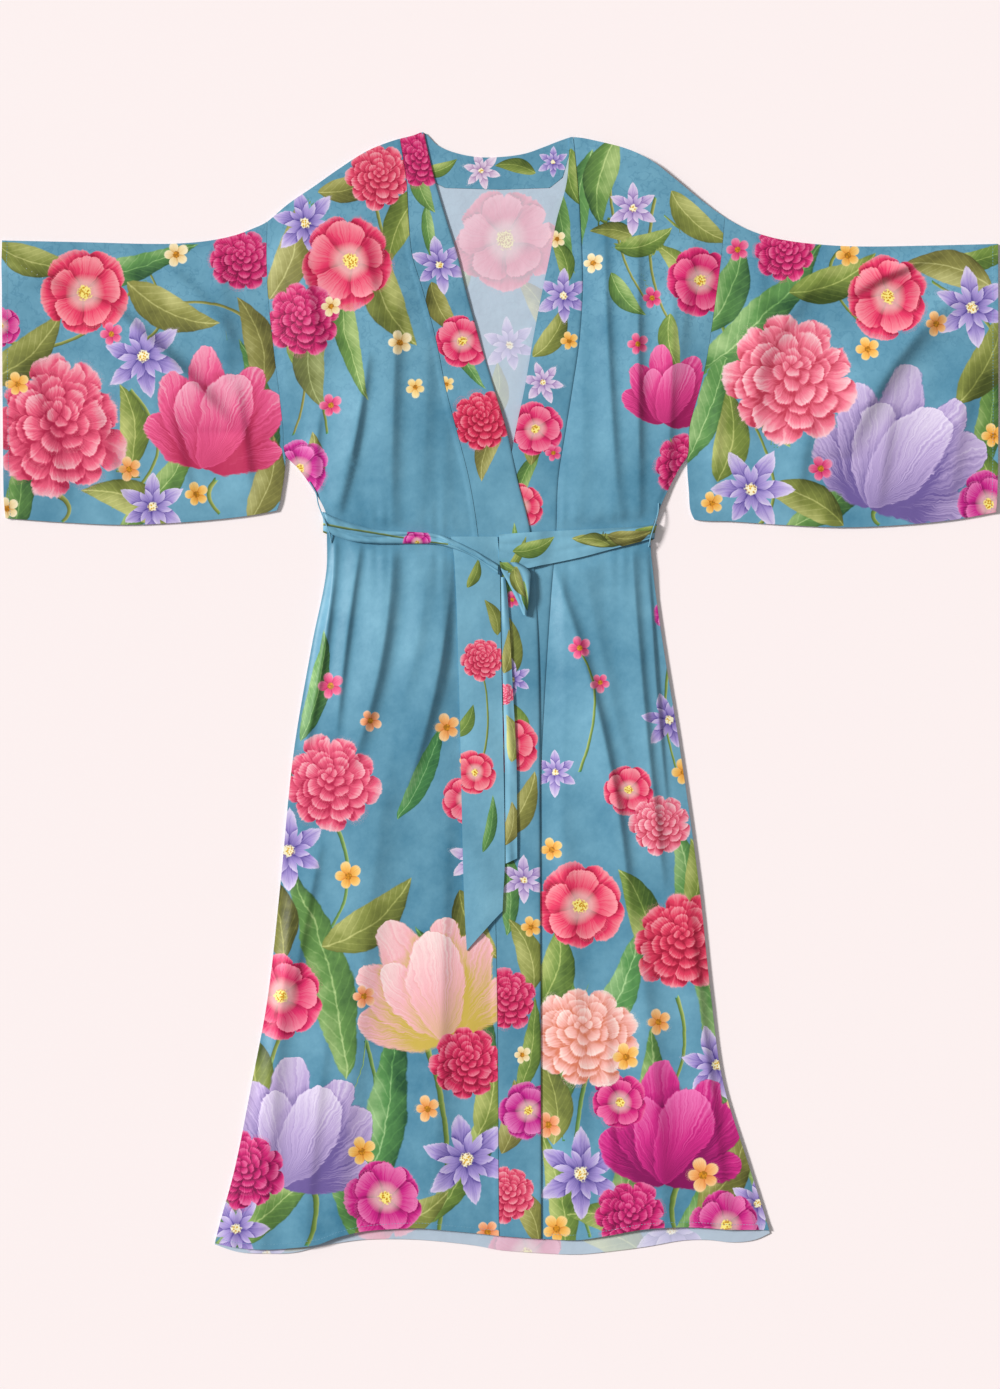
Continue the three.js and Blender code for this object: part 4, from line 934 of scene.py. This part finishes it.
SLEEVE_PRINT = {
    "right": {
        "stem": table(STEM, [[-572, 1062, -500, 1060, -420, 1128, 2.4, .5],
                             [-430, 1004, -398, 930, -452, 866, 2.2, .4],
                             [-330, 900, -338, 880, -326, 860, 2.8, .4],
                             [-276, 1040, -300, 1090, -372, 1104, 2.2, .6],
                             [-512, 880, -500, 866, -508, 850, 2.8, .5],
                             [-410, 1060, -392, 1100, -420, 1160, 1.8, .5]]),
        "leaf": table(MOTIF, [[-380, 1098, 60, -24, .6], [-552, 1048, 62, 40, .55],
                              [-284, 1060, 54, 106, .7],
                              [-430, 872, 58, 158, .5], [-538, 1156, 50, -14, .5], [-272, 900, 52, 74, .7],
                              [-430, 962, 50, 96, .4]]),
        "blade": table(MOTIF, [[-430, 1148, 84, 14, .1], [-560, 900, 84, 84, .15], [-388, 902, 84, 52, .2],
                               [-280, 990, 76, 104, .1]]),
        "star": table(MOTIF, [[-414, 1040, 54, 10, .1], [-404, 868, 42, 0, .15]]),
        "fan": table(MOTIF, [[-326, 980, 90, -14, .66]]),
        "open": table(MOTIF, [[-482, 1116, 54, 12, .15], [-580, 1078, 26, 0, .8]]),
        "bloom": table(MOTIF, [[-512, 960, 86, 0, .42], [-300, 1154, 40, 0, .9]]),
        "blossom": table(MOTIF, [[-376, 1160, 17, 0, .1], [-560, 1010, 16, 0, .4], [-430, 912, 16, 0, .45],
                                 [-450, 1068, 15, 0, .9], [-352, 882, 16, 0, .4], [-572, 866, 16, 0, .1]]),
    },
    "left": {
        "stem": table(STEM, [[338, 940, 290, 990, 256, 1090, 3.0, .3],
                             [440, 868, 432, 858, 440, 846, 2.8, .3],
                             [300, 846, 318, 890, 296, 960, 2.2, .4],
                             [574, 1060, 556, 1090, 500, 1130, 2.2, .4],
                             [396, 1166, 384, 1130, 420, 1080, 2.2, .4]]),
        "leaf": table(MOTIF, [[262, 1120, 60, 66, .1], [388, 1134, 56, 24, .4], [562, 1040, 60, 66, .5],
                              [352, 874, 54, 156, .5], [264, 950, 56, 84, .4], [520, 1140, 54, 166, .7],
                              [566, 896, 50, 110, .3]]),
        "blade": table(MOTIF, [[300, 1090, 116, 46, .1], [246, 1000, 90, 72, .1], [400, 890, 92, 40, .15],
                               [566, 980, 84, 84, .2], [560, 1160, 64, 16, .3]]),
        "star": table(MOTIF, [[292, 888, 52, 30, .15], [548, 1100, 50, 8, .12]]),
        "fan": table(MOTIF, [[470, 942, 108, -28, .02]]),
        "open": table(MOTIF, [[450, 1112, 52, 0, .2], [566, 872, 40, 0, .85]]),
        "bloom": table(MOTIF, [[338, 1016, 82, 0, .3], [330, 1164, 38, 0, .9]]),
        "blossom": table(MOTIF, [[404, 1160, 16, 0, .4], [276, 1166, 15, 0, .9], [426, 1050, 16, 0, .4],
                                 [506, 1080, 16, 0, .45], [246, 872, 15, 0, .4], [372, 912, 16, 0, .9],
                                 [572, 950, 16, 0, .4]]),
    }}

for wearer, sign in [("right", -1), ("left", 1)]:
    cuff = line(SLEEVE_ENDS, "height", wearer + "Cuff")
    under_arm = line(SLEEVE_ENDS, "height", wearer + "Inner")
    armhole = lambda h, w=wearer, g=sign, a=under_arm: np.where(h > UNDERARM, side[w](h), a(h)) + g * SEAM / 2
    edges = (cuff, armhole) if sign < 0 else (armhole, cuff)
    hem = line(SLEEVE_HEMS[wearer], "across", "height")
    u = np.linspace(0, 1, 101)
    low, high = meet(hem, *edges, u), meet(top, *edges, u)
    share = np.linspace(0, 1, 97)[:, None]
    y = np.where(share < 0.25, mix(low, UNDERARM, share * 4), mix(UNDERARM, high, share * 4 / 3 - 1 / 3))
    x = mix(edges[0](y), edges[1](y), u)
    closed = np.clip((y - low) / 30, 0, 1) * np.clip((high - y) / 30, 0, 1)
    away = ease(1 - u if sign < 0 else u, 0, 0.12)
    roll = hem_roll(np.abs(x - cuff(y)))
    shape = PUFF * 1.2 + folded(SLEEVE_FOLDS[wearer], x, y) + ripple(x, y, 8 + sign)
    shape = np.maximum(shape, 0.05) * closed
    levels = {"back": roll * 0.3 + CLOTH - THINNER,
              "front": CLOTH + SEAM + mix(armhole_rise(x, y), shape, away) + CLOTH + roll}
    for layer, over in levels.items():
        name = f"sleeve_{wearer}_{layer}"
        inside_out = layer == "back"
        made = cloth(name, x, y, over, [robe_inside, robe_satin] if inside_out else [robe_satin, robe_inside],
                     CLOTH - THINNER if inside_out else WALL)
        lay_print(made, x, y, SLEEVE_PRINT[wearer])
        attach(made, "root")
        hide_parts(name)
    turned = [values[:, ::-sign].T for values in (np.abs(x - cuff(y)), x, y - LENGTH / 2, levels["front"])]
    stitches(f"cuff_stitches_{wearer}", beside_edge(turned[0], STITCH_LINE, *turned[1:]))

# ---- Belt -------------------------------------------------------------------------------------
# One long doubled strip of the same satin, whose teal ground is painted lighter than the robe's as
# painted light. It runs under the back, turns round both sides, and is tied in front: the wearer's
# right stretch is twisted into a roll, the left one lies flat.

BELT_TURN, ROLL = 4.5, 5.4  # how far the belt turns out past a side seam, and how thick it is rolled
BELT_BACK = table("across top low", [
    [-207, 862, 839], [-150, 857, 815], [0, 851, 806], [130, 850, 810], [182, 848, 832]])
BELT_RIGHT = table("across top low", [
    [-207, 862, 841], [-186, 853, 832], [-166, 847, 827], [-143, 841, 825], [-93, 838, 825],
    [-73, 836, 824], [-57, 830, 820], [-31, 818, 809], [-2, 800, 789]])
BELT_LEFT = table("across top low", [
    [-1.5, 835.5, 805.5], [19, 837, 795.5], [49, 839, 800], [93, 841, 809], [131, 843, 819],
    [162, 845, 827], [182, 848, 833]])
TAIL_LONG = table("height left right", [
    [353, -38.5, 3.5], [399, -41, 3], [458, -43, 5.5], [597, -46, 3.5], [713, -49, 1],
    [806, -53, -0.5], [834, -57, -3]])
TAIL_SHORT = table("height left right", [
    [454, 6.5, 20], [574, 5.5, 19], [654, 3.5, 15], [713, 2, 12], [760, 1.5, 9], [786, 1, 6]])
KNOT = table("height left right", [
    [742, 27, 31], [760, 19, 33.5], [780, 9, 35], [793, 2, 34], [803, -0.5, 20]])
KNOT_POINT, KNOT_TOP = 742, 803


def stretch(edges, seam, marks, cell, rows):
    """x, y and share up the belt of a stretch's points. Each mark is a share of the side seam and an
    offset, columns stand between them, and rows divide the belt from its lower to its upper edge."""
    upper, lower = line(edges, "across", "top"), line(edges, "across", "low")
    marks = np.array(marks, float)
    lengths = np.abs(np.diff(marks[:, 0] * seam(832.0) + marks[:, 1]))
    fine = [np.linspace(a, b, max(1, math.ceil(run / cell)), endpoint=False)
            for a, b, run in zip(marks, marks[1:], lengths)]
    weight, out = np.concatenate([*fine, marks[-1:]]).T
    v = np.linspace(0, 1, rows + 1)[:, None]
    y = np.full((rows + 1, len(out)), (BELT_LOW + BELT_HIGH) / 2)
    for _ in range(6):
        x = weight * seam(y) + out
        y = mix(lower(x), upper(x), v)
    return x, y, np.broadcast_to(v, x.shape)


def belt_piece(name, x, y, over, under, motifs):
    """A stretch of the belt: a closed shell from its lower to its upper level, with its print."""
    made = cloth(name, x, y, over, [belt_satin_painted_lighter, belt_satin_painted_lighter], over - under)
    lay_print(made, x, y, motifs)
    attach(made, "root")
    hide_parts(name)


def over_right_band(y):
    """The right band's upper side where the belt crosses it: the layers below it added up."""
    return under_back(y) + CLOTH + FRONT_OVERLAP + DOUBLE


def over_front(wearer, x, y):
    """A front's upper side under the belt: the highest of five readings within 5 mm up and down."""
    near = [over_panel(wearer, x, np.clip(y + d, BELT_LOW, BELT_HIGH)) for d in (-5, -2.5, 0, 2.5, 5)]
    return np.max(near, 0)


# Under the back, flat on the table.
span = np.linspace(0, 1, 80)
v = np.linspace(0, 1, 7)[:, None]
y = np.full((7, 80), 830.0)
for _ in range(6):
    x = mix(side["right"](y) - BELT_TURN, side["left"](y) + BELT_TURN, span)
    y = mix(line(BELT_BACK, "across", "low")(x), line(BELT_BACK, "across", "top")(x), v)
belt_piece("belt_back", x, y, np.full_like(x, CLOTH), np.zeros_like(x), {
    "leaf": table(MOTIF, [[-190, 850, 26, 20, .5], [150, 835, 30, 170, .6]])})

# The twisted stretch: two strands of the strip wind round each other along it, and it climbs over
# the long end into the knot.
x, y, v = stretch(BELT_RIGHT, side["right"], [(1, -BELT_TURN), (1, -1.7), (0, -196), (0, -2.5)], 2.2, 16)
on = ease(x - side["right"](y), -4.2, -1.0)
below = over_front("right", x, y)
over_tail = over_right_band(y) + REST + DOUBLE
under = mix(CLOTH + SEAM, mix(below, over_tail, ease(x, -74, -58)) + REST, on)
split = 0.5 + 0.16 * np.sin(x / 21)
t = np.where(v < split, v / split, (v - split) / (1 - split))
strands = np.sqrt(np.clip(4 * t * (1 - t), 0, 1)) * (0.86 + 0.14 * np.sin(x / 13 + 3 * v))
creases = 0.35 * np.sin((x + 34 * v) / 3.4) * strands
over = under + DOUBLE + (ROLL - DOUBLE) * on * (0.12 * np.sin(np.pi * v) + 0.95 * strands) + on * creases
belt_piece("belt_right", x, y, over, under, {
    "stem": table(STEM, [[-206, 848, -140, 836, -60, 824, 1.4, .9]]),
    "open": table(MOTIF, [[-96, 826, 18, 0, .9]])})

# The flat stretch: it leaves the knot at full width and is drawn together in pleats at the side.
beside_long = line(TAIL_LONG, "height", "right")(820.0) + REST
x, y, v = stretch(BELT_LEFT, side["left"], [(0, beside_long), (0, 168), (1, 1.7), (1, BELT_TURN)], 2.5, 20)
on = ease(side["left"](y) - x, -4.2, -1.0)
below = over_front("left", x, y)
under = mix(CLOTH + SEAM, mix(over_right_band(y), below, ease(x, 42, 64)) + REST, on)
narrow = ease(x, 20, 170)
pleats = np.abs(np.sin(np.pi * (v * 2.4 + 0.15 * np.sin(x / 37)))) ** 0.8
pulled = np.abs(np.sin(np.pi * (v * 3.2 - x / 90))) ** 0.7 * (1 - ease(x, 6, 74))
over = under + DOUBLE + on * (2.0 * narrow * pleats + 1.3 * pulled + 0.6 * np.sin(np.pi * v))
belt_piece("belt_left", x, y, over, under, {
    "leaf": table(MOTIF, [[150, 834, 26, 4, .7], [108, 828, 20, 172, .5], [40, 822, 26, 20, .3]]),
    "blade": table(MOTIF, [[128, 832, 44, 4, .5], [176, 842, 24, 10, .4], [20, 812, 24, 60, .4]])})


def hanging(name, edges, feet, head, cells, level, height, motifs):
    """A hanging end: rows from its foot, slanted between two heights, up to its head, and columns
    between its two edges, at a level and of a height above it."""
    left, right = line(edges, "height", "left"), line(edges, "height", "right")
    columns, rows = cells
    u = np.linspace(0, 1, columns + 1)
    y = mix(mix(*feet, u), head, np.linspace(0, 1, rows + 1)[:, None])
    x = mix(left(y), right(y), u)
    under = level(y) + 0 * x
    over = under + height(np.broadcast_to(u, x.shape), y)
    belt_piece(name, x, y, over, under, motifs)


def on_band(y):
    """The level of an end that lies loose on the right band."""
    return over_right_band(y) + REST


def loose(u, y):
    """A strip that lies almost flat: doubled cloth, a little higher between its edges, and waved."""
    swell = 0.8 * np.sin(np.pi * u) * (1 + np.sin(y / 31 + 2 * u))
    return DOUBLE + swell + 0.3 * np.sin(y / 12 + 5 * u) + 0.3


def ridged(u, y):
    """The loose strip with a rounded ridge along it, where the narrow end is folded lengthwise."""
    return loose(u, y) + 0.5 * np.exp(-((u - 0.4) / 0.2) ** 2)


def on_long_end(y):
    """The knot's level: on the long end where that passes under it, and lower towards its point."""
    return over_right_band(BELT_LOW) + REST + DOUBLE + REST - 1.6 * ease(KNOT_TOP - y, 40, 61)


def knotted(u, y):
    """The knot's height: a full roll, with pleats across it that begin above its point."""
    pleats = 2.2 * np.abs(np.sin(np.pi * (u * 2.2 + (y - KNOT_POINT) / 90))) ** 0.8
    return DOUBLE + 3.0 * np.sin(np.pi * u) ** 0.6 + pleats * ease(y, KNOT_POINT, 768)


hanging("tail_long", TAIL_LONG, (353, 399), 833, (16, 190), on_band, loose, {
    "stem": table(STEM, [[-26, 560, -14, 620, -24, 690, 1.4, .4]]),
    "leaf": table(MOTIF, [[-40, 618, 22, 60, .3], [-8, 740, 22, 110, .5], [-30, 790, 18, 70, .4]]),
    "blade": table(MOTIF, [[-12, 500, 34, 80, .1]]),
    "open": table(MOTIF, [[-30, 560, 27, 10, .12]]),
    "bloom": table(MOTIF, [[-20, 690, 26, 0, .55]])})
hanging("tail_short", TAIL_SHORT, (454, 460), 786, (8, 120), on_band, ridged, {
    "leaf": table(MOTIF, [[10, 700, 26, 84, .6], [14, 600, 28, 96, .5], [12, 500, 26, 80, .7]]),
    "bloom": table(MOTIF, [[4, 650, 14, 0, .4]])})
hanging("knot", KNOT, (KNOT_POINT, KNOT_POINT), KNOT_TOP, (18, 30), on_long_end, knotted, {
    "leaf": table(MOTIF, [[22, 780, 20, -70, .5], [8, 800, 14, -30, .3]]),
    "blade": table(MOTIF, [[30, 762, 20, -80, .2]])})

# ---- Thread loops -----------------------------------------------------------------------------
# A loop of thread chain at each side seam, sewn down at both its ends, through which the belt turns
# round the side. It is the teal sewing thread, three plies twisted together.

LOOP_RADIUS, LOOP_PITCH, LOOP_PLIES = 0.8, 3.2, 3
LOOPS = {
    "right": table("x y z", [[-221, 897, 4.1], [-213.5, 884, 4.8], [-211, 872, 5.4], [-207.5, 862, 7.4],
                             [-203, 851, 9.7], [-198, 838, 8.3], [-195.5, 826, 5.8]]),
    "left": table("x y z", [[184, 872, 5.2], [183.5, 862, 6.6], [181, 852, 8.1], [178, 843, 8.6],
                            [175, 833, 8.2], [172.5, 821, 5.8]])}


def twisted(path, radius, pitch, plies, around=10):
    """A twisted thread along a path: at each step a ring whose radius swells once for each ply,
    turned further along by the pitch. Rings stand across the path on two directions square to it."""
    ahead = np.gradient(path, axis=0)
    ahead /= np.linalg.norm(ahead, axis=1)[:, None]
    flat = np.cross(ahead, [0, 0, 1.0])
    flat /= np.linalg.norm(flat, axis=1)[:, None]
    rise = np.cross(flat, ahead)
    gone = np.r_[0, np.cumsum(np.linalg.norm(np.diff(path, axis=0), axis=1))][:, None]
    angle = np.linspace(0, math.tau, around, endpoint=False)
    swell = radius * (0.78 + 0.22 * np.abs(np.cos((angle - gone / pitch * math.tau) * plies / 2)))
    ring = (flat[:, None] * (np.cos(angle) * swell)[..., None]
            + rise[:, None] * (np.sin(angle) * swell)[..., None])
    points = (path[:, None] + ring).reshape(-1, 3)
    at = np.arange(len(points)).reshape(-1, around)
    nxt = np.roll(at, -1, 1)
    walls = np.stack([at[:-1], at[1:], nxt[1:], nxt[:-1]], -1).reshape(-1, 4)
    ends = np.concatenate([path[:1], path[-1:]])
    first, last = len(points), len(points) + 1
    caps = np.concatenate([np.stack([np.full(around, first), at[0], nxt[0]], 1),
                           np.stack([np.full(around, last), nxt[-1], at[-1]], 1)])
    return np.concatenate([points, ends]), walls, caps


for wearer, rows in LOOPS.items():
    marks = np.stack([rows["x"], rows["y"], rows["z"]], 1)
    rows["along"] = np.arange(len(marks)) * 1.0
    along = np.linspace(0, len(marks) - 1, 90)
    path = np.stack([line(rows, "along", axis)(along) for axis in "xyz"], 1) - [0, LENGTH / 2, 0]
    points, walls, caps = twisted(path, LOOP_RADIUS, LOOP_PITCH, LOOP_PLIES)
    mesh = bpy.data.meshes.new(f"loop_{wearer}_thread")
    mesh.from_pydata((points / 1000).tolist(), [], walls.tolist() + caps.tolist())
    mesh.polygons.foreach_set("use_smooth", np.ones(len(mesh.polygons), bool))
    mesh.materials.append(thread)
    loop = bpy.data.objects.new(f"loop_{wearer}_thread", mesh)
    scene.collection.objects.link(loop)
    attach(loop, "root")
    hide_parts("loop_" + wearer)
